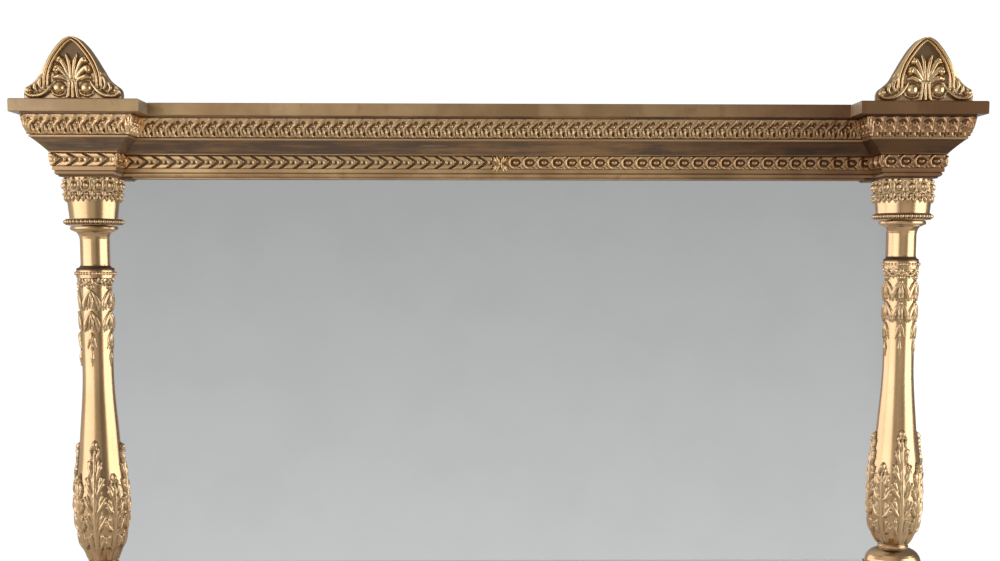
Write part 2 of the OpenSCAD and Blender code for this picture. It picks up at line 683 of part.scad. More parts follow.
module peg_holes(r, grow) {
  for (s = [-1, 1], z = peg_z)
    translate([s * peg_x, frame_back + grow, z])
      rotate([90, 0, 0]) cylinder(r = r, h = frame_t + 2 * grow);
}

// the rebate for the plate and the wider one behind it for the backboards
module rebates() {
  translate([-rebate_x, plate_y, rebate_bot])
    cube([2 * rebate_x, frame_t, rebate_top - rebate_bot]);
  translate([-rebate_x - board_ledge, board_y, rebate_bot - board_ledge])
    cube([2 * (rebate_x + board_ledge), frame_t, rebate_top - rebate_bot + 2 * board_ledge]);
}

module stile(side) color("#b08452") difference() {
  translate([side > 0 ? stile_in : -stile_out, frame_front, 0])
    cube([stile_w, frame_t, cornice_top - board_t]);
  rebates();
  tenons(20, 110, clear);
  tenons(sight_top + 37, sight_top + 87, clear);
  peg_holes(peg_r + clear, 1);
  backboard_screw_holes(pilot_r);
  wall_plate_holes(pilot_r);
}

module rail(z0, z1, t0, t1) {
  difference() {
    union() {
      translate([-stile_in, frame_front, z0]) cube([2 * stile_in, frame_t, z1 - z0]);
      tenons(t0, t1, 0);
    }
    rebates();
    peg_holes(peg_r + clear, 1);
    backboard_screw_holes(pilot_r);
    wall_plate_holes(pilot_r);
  }
}

module top_rail() color("#b08452")
  rail(sight_top, cornice_top - board_t, sight_top + 37, sight_top + 87);
module bottom_rail() color("#b08452") rail(0, rail_h, 20, 110);
module corner_pegs() color("#cfae7c") peg_holes(peg_r, 0);

module mirror_plate() color("#c7ccd0")
  translate([-rebate_x + 1.5, plate_y, rebate_bot + 1.5])
    cube([2 * rebate_x - 3, plate_t, rebate_top - rebate_bot - 3]);

module plate_blocks() color("#c9a878") {
  block_l = 60;
  y = plate_y + plate_t;
  deep = board_y - y - 0.5;
  for (s = [-1, 1], z = [200, (rail_h + sight_top) / 2 - block_l / 2, sight_top - 120])
    translate([s > 0 ? stile_in : -rebate_x, y, z]) cube([rebate_w, deep, block_l]);
  for (x = [-420, -block_l / 2, 420 - block_l], z = [rebate_bot, sight_top])
    translate([x, y, z]) cube([block_l, deep, rebate_w]);
}

board_gap = 1;
board_w = (2 * (rebate_x + board_ledge) - 4 * board_gap) / 3;
screw_r = 1.75;
head_r = 3.6;
head_h = 2;
pilot_r = screw_r + clear;
side_screw_z = [rail_h + 150, (rail_h + sight_top) / 2 + 14, sight_top - 130];

function board_x(k) = -rebate_x - board_ledge + board_gap + k * (board_w + board_gap);

// countersunk wood screw or its hole, head at the origin, running toward -Y
module screw(r, grow, l) {
  rotate([90, 0, 0]) {
    translate([0, 0, -grow]) cylinder(r = head_r + grow, h = grow + 0.3);
    translate([0, 0, 0.3]) cylinder(r1 = head_r + grow, r2 = r, h = head_h);
    cylinder(r = r, h = l + grow);
  }
}

module at_backboard_screws() {
  edge = board_ledge / 2;
  for (k = [0 : 2], f = [0.16, 0.84], z = [rebate_bot - edge, rebate_top + edge])
    translate([board_x(k) + board_w * f, frame_back, z]) children();
  for (s = [-1, 1], z = side_screw_z)
    translate([s * (rebate_x + edge), frame_back, z]) children();
}

module backboard_screw_holes(r) {
  at_backboard_screws() screw(r, clear, 15);
}

module backboard(k) color("#a58460") difference() {
  translate([board_x(k), board_y, rebate_bot - board_ledge + 0.5])
    cube([board_w, backboard_t, rebate_top - rebate_bot + 2 * board_ledge - 1]);
  backboard_screw_holes(screw_r + clear);
}

module backboard_screws() color("#b9a98a") at_backboard_screws() screw(screw_r, 0, 14.5);

// ---------- plinths and bottom moulding ----------

function plinth_profile() = concat(
  [[plinth_half, 0], [plinth_half, 26]],
  arc(plinth_half - 6, 26, 6, 0, 80, 4),
  [[plinth_half - 6, 33], [plinth_half - 6, plinth_h - 22]],
  [for (k = [0 : 5]) let (a = 90 * k / 5) [plinth_half - 6 + 5 * (1 - cos(a)), plinth_h - 21 + 9 * sin(a)]],
  [[plinth_half, plinth_h - 11], [plinth_half, plinth_h - 1.2], [plinth_half - 1.2, plinth_h]]);

// plinth as a square moulded block, notched round the stile and the bottom rail
module plinth_solid(side) {
  prof = plinth_profile();
  difference() {
    intersection() {
      translate([side * axis_x, frame_back, 0])
        rotate([90, 0, 0])
          linear_extrude(frame_back + plinth_half + 5)
            polygon(concat(prof, [for (k = [len(prof) - 1 : -1 : 0]) [-prof[k][0], prof[k][1]]]));
      translate([side * axis_x - plinth_half - 5, 0, 0])
        rotate([90, 0, 90])
          linear_extrude(2 * plinth_half + 10)
            polygon(concat([[frame_back, 0]], [for (p = prof) [-p[0], p[1]]], [[frame_back, plinth_h]]));
    }
    translate([side > 0 ? 0 : -stile_out, frame_front, -1])
      cube([stile_out, frame_t + 5, plinth_h + 2]);
  }
}

module plinth(side) color("#cda25c") plinth_solid(side);

// bottom moulding, coped against the plinths: base, torus, flat frieze and cyma lip
module bottom_moulding() color("#c59a58") difference() {
  x = axis_x - plinth_half + 6;
  translate([-x, 0, 0])
    rotate([90, 0, 90])
      linear_extrude(2 * x)
        polygon(concat(
          [[frame_front, 0], [-26, 0], [-26, 34], [-22, 36]],
          [for (k = [0 : 8]) let (a = -90 + 180 * k / 8) [-18 - 8 * cos(a), 45 + 8 * sin(a)]],
          [[-14, 54], [-14, 57], [-8, 58.5], [-8, rail_h - 38]],
          [for (k = [0 : 6]) let (a = 90 * k / 6) [-8 - 8 * (1 - cos(a)), rail_h - 38 + 12 * sin(a)]],
          [[-18, rail_h - 26], [-18, rail_h - 20]],
          [for (k = [1 : 6]) let (a = 90 * k / 6) [-18 + 24 * sin(a), rail_h - 20 + 12 * (1 - cos(a))]],
          [[12, rail_h - 6], [frame_front, rail_h]]));
  plinth_solid(-1);
  plinth_solid(1);
}

// ---------- wall plates ----------

wall_plate_x = stile_out - stile_w / 2;
wall_plate_down = 75;

module at_wall_screws() {
  for (s = [-1, 1], d = [wall_plate_down - 14, wall_plate_down - 38])
    translate([s * wall_plate_x, frame_back + wall_plate_t, cornice_top - d]) children();
}

module wall_plate_holes(r) {
  at_wall_screws() screw(r, clear, 24);
}

// brass plate screwed to the stile; its round head stands up behind the acroterion
module wall_plate(side) color("#c8a64e") difference() {
  translate([side * wall_plate_x, frame_back + wall_plate_t, 0])
    rotate([90, 0, 0])
      linear_extrude(wall_plate_t) {
        translate([-wall_plate_w / 2, cornice_top - wall_plate_down])
          square([wall_plate_w, wall_plate_down + wall_hole_up]);
        translate([0, cornice_top + wall_hole_up]) circle(r = wall_plate_w / 2);
      }
  wall_plate_holes(screw_r + clear);
  translate([side * wall_plate_x, frame_back + wall_plate_t + 1, cornice_top + wall_hole_up])
    rotate([90, 0, 0]) cylinder(r = wall_hole_d / 2, h = wall_plate_t + 2);
}

module wall_plate_screws() color("#b08d3a") at_wall_screws() screw(screw_r, 0, 23.5);

// ---------- assembly ----------
centred() stile(-1);  // stile_left
centred() stile(1);  // stile_right
centred() top_rail();
centred() bottom_rail();
centred() corner_pegs();
centred() mirror_plate();
centred() plate_blocks();
centred() backboard(0);  // backboard_left
centred() backboard(1);  // backboard_middle
centred() backboard(2);  // backboard_right
centred() backboard_screws();
centred() cornice_board_centre();
centred() cornice_board(-1);  // cornice_board_left
centred() cornice_board(1);  // cornice_board_right
centred() cornice_mould_centre();
centred() cornice_mould("outer", -1);  // cornice_mould_left_outer
centred() cornice_mould("front", -1);  // cornice_mould_left_front
centred() cornice_mould("inner", -1);  // cornice_mould_left_inner
centred() cornice_mould("outer", 1);  // cornice_mould_right_outer
centred() cornice_mould("front", 1);  // cornice_mould_right_front
centred() cornice_mould("inner", 1);  // cornice_mould_right_inner
centred() architrave_centre();
centred() architrave("outer", -1);  // architrave_left_outer
centred() architrave("front", -1);  // architrave_left_front
centred() architrave("inner", -1);  // architrave_left_inner
centred() architrave("outer", 1);  // architrave_right_outer
centred() architrave("front", 1);  // architrave_right_front
centred() architrave("inner", 1);  // architrave_right_inner
centred() core(-1);  // core_left
centred() core(1);  // core_right
centred() leaf_band_centre();
centred() leaf_band_left();
centred() leaf_band_right();
centred() laurel_band_centre();
centred() laurel_band(-1);  // laurel_band_left
centred() laurel_band(1);  // laurel_band_right
centred() rosette();
centred() acroterion(-1);  // acroterion_left
centred() acroterion(1);  // acroterion_right
centred() acroterion_dowels();
centred() capital(0);  // capital_left
centred() capital(1);  // capital_right
centred() capital_leaves(0);  // capital_leaves_left
centred() capital_leaves(1);  // capital_leaves_right
centred() column(0);  // column_left
centred() column(1);  // column_right
centred() garland(0);  // garland_left
centred() garland(1);  // garland_right
centred() acanthus(0);  // acanthus_left
centred() acanthus(1);  // acanthus_right
centred() column_base(0);  // column_base_left
centred() column_base(1);  // column_base_right
centred() plinth(-1);  // plinth_left
centred() plinth(1);  // plinth_right
centred() bottom_moulding();
centred() wall_plate(-1);  // wall_plate_left
centred() wall_plate(1);  // wall_plate_right
centred() wall_plate_screws();
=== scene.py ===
"""Overmantel mirror: its gilding, carved ornament, camera and light, built round the fixed frame.

Lengths in the carving functions are millimetres; meshes are made in metres.
"""

import json
import math

import bmesh
import bpy
import numpy as np
from mathutils import Matrix, Vector

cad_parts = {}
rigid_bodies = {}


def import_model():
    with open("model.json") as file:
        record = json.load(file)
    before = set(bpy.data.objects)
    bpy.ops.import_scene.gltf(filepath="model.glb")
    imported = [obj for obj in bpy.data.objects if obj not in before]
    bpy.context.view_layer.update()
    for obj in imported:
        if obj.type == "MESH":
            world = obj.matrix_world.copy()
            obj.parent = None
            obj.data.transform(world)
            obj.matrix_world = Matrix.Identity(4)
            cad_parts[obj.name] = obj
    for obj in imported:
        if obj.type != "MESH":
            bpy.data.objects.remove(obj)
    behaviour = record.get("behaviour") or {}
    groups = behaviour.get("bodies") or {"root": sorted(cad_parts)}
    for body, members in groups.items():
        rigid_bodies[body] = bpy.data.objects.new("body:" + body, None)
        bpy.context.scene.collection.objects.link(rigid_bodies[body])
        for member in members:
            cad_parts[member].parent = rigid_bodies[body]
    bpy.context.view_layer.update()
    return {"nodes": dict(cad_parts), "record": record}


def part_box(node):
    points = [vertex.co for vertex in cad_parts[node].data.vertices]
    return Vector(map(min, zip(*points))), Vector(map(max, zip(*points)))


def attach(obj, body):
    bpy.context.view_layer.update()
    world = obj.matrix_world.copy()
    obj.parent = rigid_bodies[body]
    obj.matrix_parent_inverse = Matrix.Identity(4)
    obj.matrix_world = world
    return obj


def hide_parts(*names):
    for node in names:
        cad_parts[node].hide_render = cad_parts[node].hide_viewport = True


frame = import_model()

MM = 0.001


# ---------- sizes taken from the frame, in millimetres ----------

def corner(node, end):
    return np.array(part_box(node)[end]) / MM


board_low, board_high = corner("cornice_board_right", 0), corner("cornice_board_right", 1)
board_reach = (board_high[0] - board_low[0]) / 2
axis_x = (board_high[0] + board_low[0]) / 2
axis_y = board_low[1] + board_reach
cornice_top = board_high[2]
break_back = corner("cornice_board_centre", 0)[1] - board_low[1]
wall_y = corner("stile_right", 1)[1]
board_t = board_high[2] - board_low[2]
soffit = corner("capital_right", 1)[2]

SIDES = {"left": -1, "right": 1}
foot_z = {side: corner("column_base_" + side, 1)[2] for side in SIDES}
drum_foot_z = {side: corner("capital_" + side, 0)[2] for side in SIDES}
leaf_tip_z = {side: corner("acanthus_" + side, 1)[2] for side in SIDES}
SHAFT_L = 279.5
RING_TO_DROP = 9
COLLAR_DEEP = 19.3

# each column's two beaded rings, with soiling and painted shade between the beads: lowest and
# highest level, and radius of the ground between beads
COLLAR_GROUND = {"left": 45, "right": 45.6}
RING_GROUND = {"left": 31.1, "right": 28.9}


def beaded_rings(side):
    collar_top = drum_foot_z[side] + COLLAR_DEEP
    ring_middle = leaf_tip_z[side] + SHAFT_L
    return [(collar_top - 10, collar_top - 0.8, COLLAR_GROUND[side]),
            (ring_middle - 4, ring_middle + 4, RING_GROUND[side])]


# beds of the two ornament bands: [reach from the column axis, depth below the cornice top]
archi_down = board_t + 57
LEAF_BED = np.array([[84.5, board_t + 2], [74.8, board_t + 34]])
LAUREL_BED = np.array([[50.6, archi_down + 2], [47.8, archi_down + 23.4]])
LINING = archi_down + 39
# depth where the fascia's painted light begins
FASCIA = archi_down + 24
# depth where the painted shade on each block's lip begins
LIP = archi_down + 36
# the moulding grooves, darkened with painted shadow
FILLET_GROOVES = [(archi_down + 30, archi_down + 31.4), (archi_down + 36.8, archi_down + 37.9)]
LEAF_PITCH = 20
LAUREL_PITCH = 23
ROSETTE_HALF = 13.5


# ---------- shader trees written as expressions ----------

class Value:
    """One output in a finish's tree, used in ordinary arithmetic."""

    def __init__(self, finish, socket):
        self.finish = finish
        self.socket = socket

    def math(self, operation, *parts):
        node = self.finish.node("ShaderNodeMath", {"operation": operation}, dict(enumerate(parts)))
        return Value(self.finish, node.outputs[0])

    def __add__(self, other):
        return self.math("ADD", self, other)

    def __sub__(self, other):
        return self.math("SUBTRACT", self, other)

    def __rsub__(self, other):
        return self.math("SUBTRACT", other, self)

    def __mul__(self, other):
        return self.math("MULTIPLY", self, other)

    def __pow__(self, other):
        return self.math("POWER", self, other)

    __radd__ = __add__
    __rmul__ = __mul__


class Tree:
    """A node tree under construction; node() adds any node with its settings and sockets."""

    def node(self, kind, settings=None, sockets=None):
        made = self.tree.nodes.new(kind)
        for key, setting in (settings or {}).items():
            if key == "stops":
                ramp = made.color_ramp
                while len(ramp.elements) < len(setting):
                    ramp.elements.new(1)
                for element, (position, colour) in zip(ramp.elements, setting):
                    element.position = position
                    element.color = (*colour, 1)
            else:
                setattr(made, key, setting)
        self.feed(made, sockets or {})
        return made

    def feed(self, made, sockets):
        for key, value in sockets.items():
            if isinstance(value, Value):
                value = value.socket
            if isinstance(value, bpy.types.NodeSocket):
                self.tree.links.new(value, made.inputs[key])
            else:
                made.inputs[key].default_value = value


class Shading(Tree):
    """A shader tree, with the textures and mixes that the finishes are written in."""

    def __init__(self, owner, where):
        owner.use_nodes = True
        self.tree = owner.node_tree
        self.tree.nodes.clear()
        self.place = Value(self, self.node("ShaderNodeTexCoord").outputs[where])

    def value(self, kind, settings, sockets, output=0):
        return Value(self, self.node(kind, settings, sockets).outputs[output])

    def mapped(self, scale):
        return self.value("ShaderNodeMapping", {}, {"Vector": self.place, "Scale": scale})

    def noise(self, scale, detail=3, roughness=0.55, stretch=(1, 1, 1), distortion=0):
        where = self.place if stretch == (1, 1, 1) else self.mapped(stretch)
        return self.value("ShaderNodeTexNoise", {},
                          {"Vector": where, "Scale": scale, "Detail": detail,
                           "Roughness": roughness, "Distortion": distortion})

    def rise(self, value, low, high, to_low=0.0, to_high=1.0):
        """value stretched from low..high to to_low..to_high, held at the ends."""
        return self.value("ShaderNodeMapRange", {"interpolation_type": "SMOOTHSTEP"},
                          {"Value": value, 1: low, 2: high, 3: to_low, 4: to_high})

    def ramp(self, value, levels):
        """A grey that follows value through [position, level] stops."""
        stops = [(at, (level, level, level)) for at, level in levels]
        return self.value("ShaderNodeValToRGB", {"stops": stops}, {"Fac": value})

    def mix(self, mask, first, second):
        """Colour first where mask is 0, second where it is 1."""
        colours = [c if isinstance(c, Value) else (*c, 1) for c in (first, second)]
        return self.value("ShaderNodeMix", {"data_type": "RGBA"},
                          {0: mask, 6: colours[0], 7: colours[1]}, 2)

    def tint(self, mask, colour, factor):
        """colour multiplied by a colour factor where mask is 1, for patina and for painted light.
        """
        return self.value("ShaderNodeMix", {"data_type": "RGBA", "blend_type": "MULTIPLY"},
                          {0: mask, 6: colour, 7: (*factor, 1)}, 2)

    def between(self, value, low, high, soft):
        """1 from low to high, 0 outside, fading over soft."""
        return self.rise(value, low - soft, low) * self.rise(value, high, high + soft, 1, 0)

    def part(self, axis):
        return self.value("ShaderNodeSeparateXYZ", {}, {0: self.place}, axis)

    def attribute(self, name):
        return self.value("ShaderNodeAttribute", {"attribute_name": name}, {}, "Fac")

    def bump(self, height, strength, distance):
        return self.value("ShaderNodeBump", {},
                          {"Height": height, "Strength": strength, "Distance": distance})


class Finish(Shading):
    """A material with one principled shader, given its varying sockets by surface()."""

    def __init__(self, name, metallic, roughness):
        self.material = bpy.data.materials.new(name)
        super().__init__(self.material, "Object")
        self.shader = self.node("ShaderNodeBsdfPrincipled", {},
                                {"Metallic": metallic, "Roughness": roughness})
        self.node("ShaderNodeOutputMaterial", {},
                  {"Surface": Value(self, self.shader.outputs[0])})

    def surface(self, sockets):
        self.feed(self.shader, sockets)
        return self.material


# ---------- finishes ----------

GOLD = (0.645, 0.41, 0.19)
PALE_GOLD = (0.73, 0.495, 0.245)
BURNISHED = (0.76, 0.47, 0.235)
WORN_GOLD = (0.42, 0.245, 0.105)
BOLE = (0.22, 0.10, 0.045)
# dark colour of soiling, and of painted shade and painted shadow
SHADE_AND_GRIME = (0.105, 0.056, 0.020)
# pale colour of the painted highlight on the boards' inner returns
PALE_HIGHLIGHT = (0.60, 0.48, 0.33)
CREST_GOLD = (0.84, 0.60, 0.31)
# painted light: how much lighter the fascia band is made
FASCIA_PAINTED_LIGHT = (1.22, 1.24, 1.22)

# where along the entablature, in metres, its ends change and the painted shade on each
# block's lip begins, and how softly a line at a depth fades
LEFT_END = (-0.58, -0.42, 1, 0)
RIGHT_END = (0.12, 0.60)
LIP_FROM_SQUARED = (0.3600, 0.3636)
EDGE = 0.5 * MM


def bead_gaps(f, side):
    """1 on the ground between the beads of a column's two beaded rings, 0 elsewhere, for the
    soiling and painted shade there.
    """
    across = f.part(0) - SIDES[side] * axis_x * MM
    out = (across * across + (f.part(1) - axis_y * MM) ** 2) ** 0.5
    up = f.part(2)
    total = 0.0
    for low, high, ground in beaded_rings(side):
        level = f.rise(up, low * MM, (low + 0.6) * MM)
        level = level * f.rise(up, (high - 0.6) * MM, high * MM, 1, 0)
        total = total + level * f.rise(out, (ground + 0.5) * MM, (ground + 1.7) * MM, 1, 0)
    return total


def depth_lines(f, depths):
    """1 at the given depths below the cornice top, each a pair of start and end."""
    total = 0.0
    for high, low in depths:
        levels = (cornice_top - low) * MM, (cornice_top - high) * MM
        total = total + f.between(f.part(2), *levels, EDGE)
    return total


def gilt(name, leaf, worn, roughness, wear, shade_and_grime, bump, coat=0.42, side=None, left=None,
         right=None, grooves=()):
    """Gold leaf over red bole: rubbed patches, faint leaf laps, soiling and painted shade in
    hollows.

    side names the column whose beaded rings get soiling and painted shade between the beads.
    left and right are a depth below the cornice top and a colour factor down to it, for the ends
    of the entablature, which has aged unevenly. grooves are the depths of the mouldings' dark
    lines, which are painted shadow; with them come painted light on the fascia, painted shade on
    each block's lip and a pale painted highlight on the boards' inner returns.
    """
    f = Finish(name, 1.0, roughness)
    cloud = f.noise(7, 4, 0.6)
    patch = f.noise(38, 5, 0.62, distortion=0.4)
    speck = f.noise(420, 3, 0.6)
    lap = f.noise(1, 1, 0.5, stretch=(13, 60, 2.5))
    rubbed = f.rise(patch * 0.55 + cloud * 0.45 + speck * 0.12,
                    0.66 - 0.2 * wear, 0.80 - 0.12 * wear)
    tone = f.mix(f.rise(cloud, 0.35, 0.66), worn, leaf)
    tone = f.mix(f.rise(lap, 0.52, 0.60, 0, 0.35), tone, PALE_GOLD)
    tone = f.mix(rubbed * 0.55, tone, BOLE)
    hollow = f.attribute("hollow") if side is None else bead_gaps(f, side)
    # soiling and painted shade in the hollows of the carving, or between a column's beads
    shade_and_dirt = f.rise(hollow * 0.95 + patch * 0.25, 0.44, 0.86) * shade_and_grime
    lip_shade = wear_and_highlight = 0.0
    if grooves:
        inner = board_low[0]
        # painted highlight: a pale, less metallic strip on the boards' inner returns, in blotches
        wear_and_highlight = f.between((f.part(0) ** 2) ** 0.5, (inner - 0.8) * MM, (inner + 0.5) * MM, 0.2 * MM)
        wear_and_highlight = wear_and_highlight * depth_lines(f, [(0, board_t - 1)]) * f.rise(patch, 0.30, 0.62, 0.5, 1)
        # painted light: the fascia band, down to the lining, made lighter
        tone = f.tint(depth_lines(f, [(FASCIA, LINING + 1)]), tone, FASCIA_PAINTED_LIGHT)
        # painted shade on each block's lip, which is also made rougher
        lip_shade = depth_lines(f, [(LIP, LINING + 1)]) * f.rise(f.part(0) ** 2, *LIP_FROM_SQUARED)
        # painted shadow in the moulding grooves and painted shade on the lips join the soiling
        shade_and_dirt = f.rise(shade_and_dirt + depth_lines(f, grooves) * 0.7 + lip_shade * 0.6, 0, 1, 0, 0.68)
    tone = f.mix(shade_and_dirt, tone, SHADE_AND_GRIME)
    for dyed, reach in ((left, LEFT_END), (right, RIGHT_END)):
        if dyed:
            down, factor = dyed
            tone = f.tint(depth_lines(f, [(0, down)]) * f.rise(f.part(0), *reach), tone, factor)
    if grooves:
        # the pale painted highlight on the inner returns
        tone = f.mix(wear_and_highlight * 0.7, tone, PALE_HIGHLIGHT)
    height = patch * 0.5 + speck * 0.22 + lap * 0.3
    return f.surface({
        "Base Color": tone,
        "Metallic": 1.0 - (rubbed * 0.2 + shade_and_dirt * 0.5 + wear_and_highlight * 0.8),
        "Roughness": roughness + lip_shade * 0.4 + rubbed * 0.10 + shade_and_dirt * 0.25 + (speck - 0.5) * 0.06,
        "Coat Weight": coat - (rubbed * 0.12 + shade_and_dirt * coat),
        "Coat Roughness": 0.16,
        "Coat IOR": 1.7,
        "Normal": f.bump(height, bump, 0.0006),
    })


def gilt_hollow():
    """The frieze: gold rubbed down to dark grey-brown in streaks, its top fillet still gold."""
    f = Finish("gilt_hollow", 1.0, 0.4)
    cloud = f.noise(5, 4, 0.6)
    streak = f.noise(1, 5, 0.65, stretch=(9, 60, 130))
    speck = f.noise(350, 3, 0.6)
    wear_and_highlight = f.rise(cloud * 0.6 + streak * 0.5, 0.40, 0.62)
    tone = f.mix(wear_and_highlight, (0.52, 0.31, 0.145), (0.17, 0.115, 0.075))
    tone = f.mix(f.rise(streak, 0.60, 0.74, 0, 0.5), tone, (0.54, 0.42, 0.26))
    tone = f.tint(f.rise(f.part(0), 0.10, 0.58), tone, (0.34, 0.29, 0.28))
    tone = f.mix(depth_lines(f, [(board_t + 34, board_t + 37)]) * 0.8, tone, GOLD)
    return f.surface({
        "Base Color": tone,
        "Metallic": 0.95 - wear_and_highlight * 0.35,
        "Roughness": 0.30 + wear_and_highlight * 0.14 + (speck - 0.5) * 0.12,
        "Normal": f.bump(streak * 0.6 + speck * 0.3, 0.16, 0.0006),
    })


def timber(name, early, late, roughness, along, leafed_below=None):
    """Sawn softwood with long grain, rings and small pores, gilt on its underside if asked."""
    f = Finish(name, 0.0, roughness)
    scale = [55, 55, 55]
    scale[along] = 2.2
    grain = f.noise(1, 5, 0.6, stretch=tuple(scale), distortion=0.8)
    fine = f.noise(1, 4, 0.7, stretch=tuple(6 * s for s in scale))
    ring = f.rise(grain, 0.42, 0.62)
    tone = f.mix(ring, early, late)
    tone = f.mix(f.rise(fine, 0.55, 0.72, 0, 0.35), tone, tuple(0.5 * c for c in late))
    if leafed_below:
        leafed = f.rise(f.part(2), (leafed_below + 0.4) * MM, (leafed_below + 1) * MM, 1, 0)
        tone = f.mix(leafed * (1 - ring * 0.3), tone, WORN_GOLD)
        f.feed(f.shader, {"Metallic": leafed * 0.9})
    return f.surface({
        "Base Color": tone,
        "Roughness": roughness + ring * 0.08,
        "Normal": f.bump(grain * 0.5 + fine * 0.5, 0.3, 0.0005),
    })


def metal(name, bright, dull, roughness):
    """Small hardware: brushed metal with dull spots."""
    f = Finish(name, 1.0, roughness)
    spot = f.noise(90, 4, 0.6)
    brush = f.noise(1, 3, 0.6, stretch=(90, 900, 900))
    dulled = f.rise(spot, 0.48, 0.68)
    return f.surface({
        "Base Color": f.mix(dulled, bright, dull),
        "Metallic": 1.0 - dulled * 0.25,
        "Roughness": roughness + dulled * 0.18 + (brush - 0.5) * 0.12,
        "Normal": f.bump(brush, 0.12, 0.0003),
    })


def looking_glass():
    """Silvered plate: clear, very slightly uneven, a shade duller in faint clouds."""
    f = Finish("looking_glass", 1.0, 0.02)
    bloom = f.noise(9, 3, 0.5)
    ripple = f.noise(2.2, 2, 0.5)
    return f.surface({
        "Base Color": f.mix(f.rise(bloom, 0.35, 0.7), (0.90, 0.905, 0.91), (0.87, 0.88, 0.885)),
        "Roughness": 0.02 + f.rise(bloom, 0.5, 0.8) * 0.02,
        "Normal": f.bump(ripple, 0.02, 0.001),
    })


# early wood, late wood and roughness; then leaf, worn leaf, roughness and wear; then grain's axis
PINE = (0.52, 0.33, 0.17), (0.36, 0.19, 0.085), 0.55
COLUMN_LEAF = BURNISHED, GOLD, 0.26, 0.05
UPRIGHT, LEVEL, FORE_AND_AFT = 2, 0, 1

finishes = {
    "gilt_wood": gilt("gilt_wood", GOLD, WORN_GOLD, 0.42, 0.35, 0.7, 0.14,
                      left=(board_t + 1, (0.78, 0.82, 0.80)), right=(LINING, (0.51, 0.41, 0.37)),
                      grooves=FILLET_GROOVES),
    "gilt_composition": gilt("gilt_composition", PALE_GOLD, GOLD, 0.34, 0.25, 0.9, 0.18,
                             left=(LINING, (1.3, 1.3, 1.32)), right=(LINING, (0.66, 0.56, 0.50))),
    "crest_gilt": gilt("crest_gilt", CREST_GOLD, PALE_GOLD, 0.25, 0.2, 0.85, 0.05, 0.28),
    "burnished_gilt": gilt("burnished_gilt", *COLUMN_LEAF, 0.6, 0.03, 0.18),
    "left_column_gilt": gilt("left_column_gilt", *COLUMN_LEAF, 1.0, 0.03, 0.18, "left"),
    "right_column_gilt": gilt("right_column_gilt", *COLUMN_LEAF, 1.0, 0.03, 0.18, "right"),
    "gilt_hollow": gilt_hollow(),
    "pine": timber("pine", *PINE, UPRIGHT),
    "pine_level": timber("pine_level", *PINE, LEVEL),
    "core_pine": timber("core_pine", *PINE, UPRIGHT, soffit + 3),
    "backboard_pine": timber("backboard_pine", (0.42, 0.27, 0.15), (0.27, 0.15, 0.075), 0.62,
                             UPRIGHT),
    "peg_wood": timber("peg_wood", (0.50, 0.34, 0.20), (0.34, 0.20, 0.10), 0.5, FORE_AND_AFT),
    "screw_steel": metal("screw_steel", (0.55, 0.53, 0.50), (0.30, 0.25, 0.20), 0.35),
    "brass": metal("brass", (0.83, 0.62, 0.28), (0.50, 0.34, 0.14), 0.30),
    "looking_glass": looking_glass(),
}
SLOT_FINISH = {"mirror": "looking_glass"}
LEVEL_TIMBER = ("top_rail", "bottom_rail", "plate_blocks")


def dress_frame():
    """Gives every CAD node the finish of its slot in the record."""
    slots = {part["node"]: part["material_slot"] for part in frame["record"]["subparts"]}
    for name, thing in frame["nodes"].items():
        slot = slots[name]
        finish = finishes[SLOT_FINISH.get(slot, slot)]
        if name in LEVEL_TIMBER:
            finish = finishes["pine_level"]
        if name.startswith("core_"):
            finish = finishes["core_pine"]
        for side in SIDES:
            if name in ("capital_" + side, "column_" + side):
                finish = finishes[side + "_column_gilt"]
        thing.data.materials.clear()
        thing.data.materials.append(finish)
    return slots


slot_of = dress_frame()


# ---------- carving: height fields in millimetres ----------

def smooth_path(points, samples):
    """A curve through the given points, sampled evenly in parameter."""
    p = np.array(points, float)
    p = np.vstack([2 * p[0] - p[1], p, 2 * p[-1] - p[-2]])
    t = np.linspace(0, len(p) - 3 - 1e-9, samples)
    i = t.astype(int)
    f = (t - i)[:, None]
    a, b, c, d = p[i], p[i + 1], p[i + 2], p[i + 3]
    return 0.5 * (2 * b + (c - a) * f + (2 * a - 5 * b + 4 * c - d) * f ** 2
                  + (3 * b - a - 3 * c + d) * f ** 3)


def grid(first, second):
    return np.meshgrid(first, second, indexing="ij")


def spread(values, samples):
    values = np.atleast_1d(np.array(values, float))
    return np.interp(np.linspace(0, 1, samples), np.linspace(0, 1, len(values)), values)


def stroke(x, y, points, width, height, groove=0.0, samples=28):
    """Round-backed stroke along a path; width is half the breadth, groove cuts its midrib."""
    path = smooth_path(points, samples)
    w, h = spread(width, samples), spread(height, samples)
    q = np.hypot(x[..., None] - path[:, 0], y[..., None] - path[:, 1]) / w
    back = np.sqrt(np.clip(1 - q ** 2, 0, 1)) * h
    best = back.max(axis=-1)
    if groove:
        near = q.min(axis=-1)
        best = best - groove * np.exp(-(near / 0.22) ** 2) * (best > 0)
    return best


def ball(x, y, cx, cy, rx, height, ry=None):
    return height * np.sqrt(np.clip(1 - ((x - cx) / rx) ** 2 - ((y - cy) / (ry or rx)) ** 2, 0, 1))


def highest(*heights):
    return np.maximum.reduce([np.asarray(h) for h in heights])


def marks(x, y, rows):
    """The highest of many marks: a stroke's row starts with its path, a ball's with its centre."""
    return highest(*[(stroke if isinstance(row[0], list) else ball)(x, y, *row) for row in rows])


def soften(h, times):
    for _ in range(times):
        p = np.pad(h, 1, mode="edge")
        h = (p[:-2, 1:-1] + p[2:, 1:-1] + p[1:-1, :-2] + p[1:-1, 2:] + 4 * p[1:-1, 1:-1]) / 8
    return h


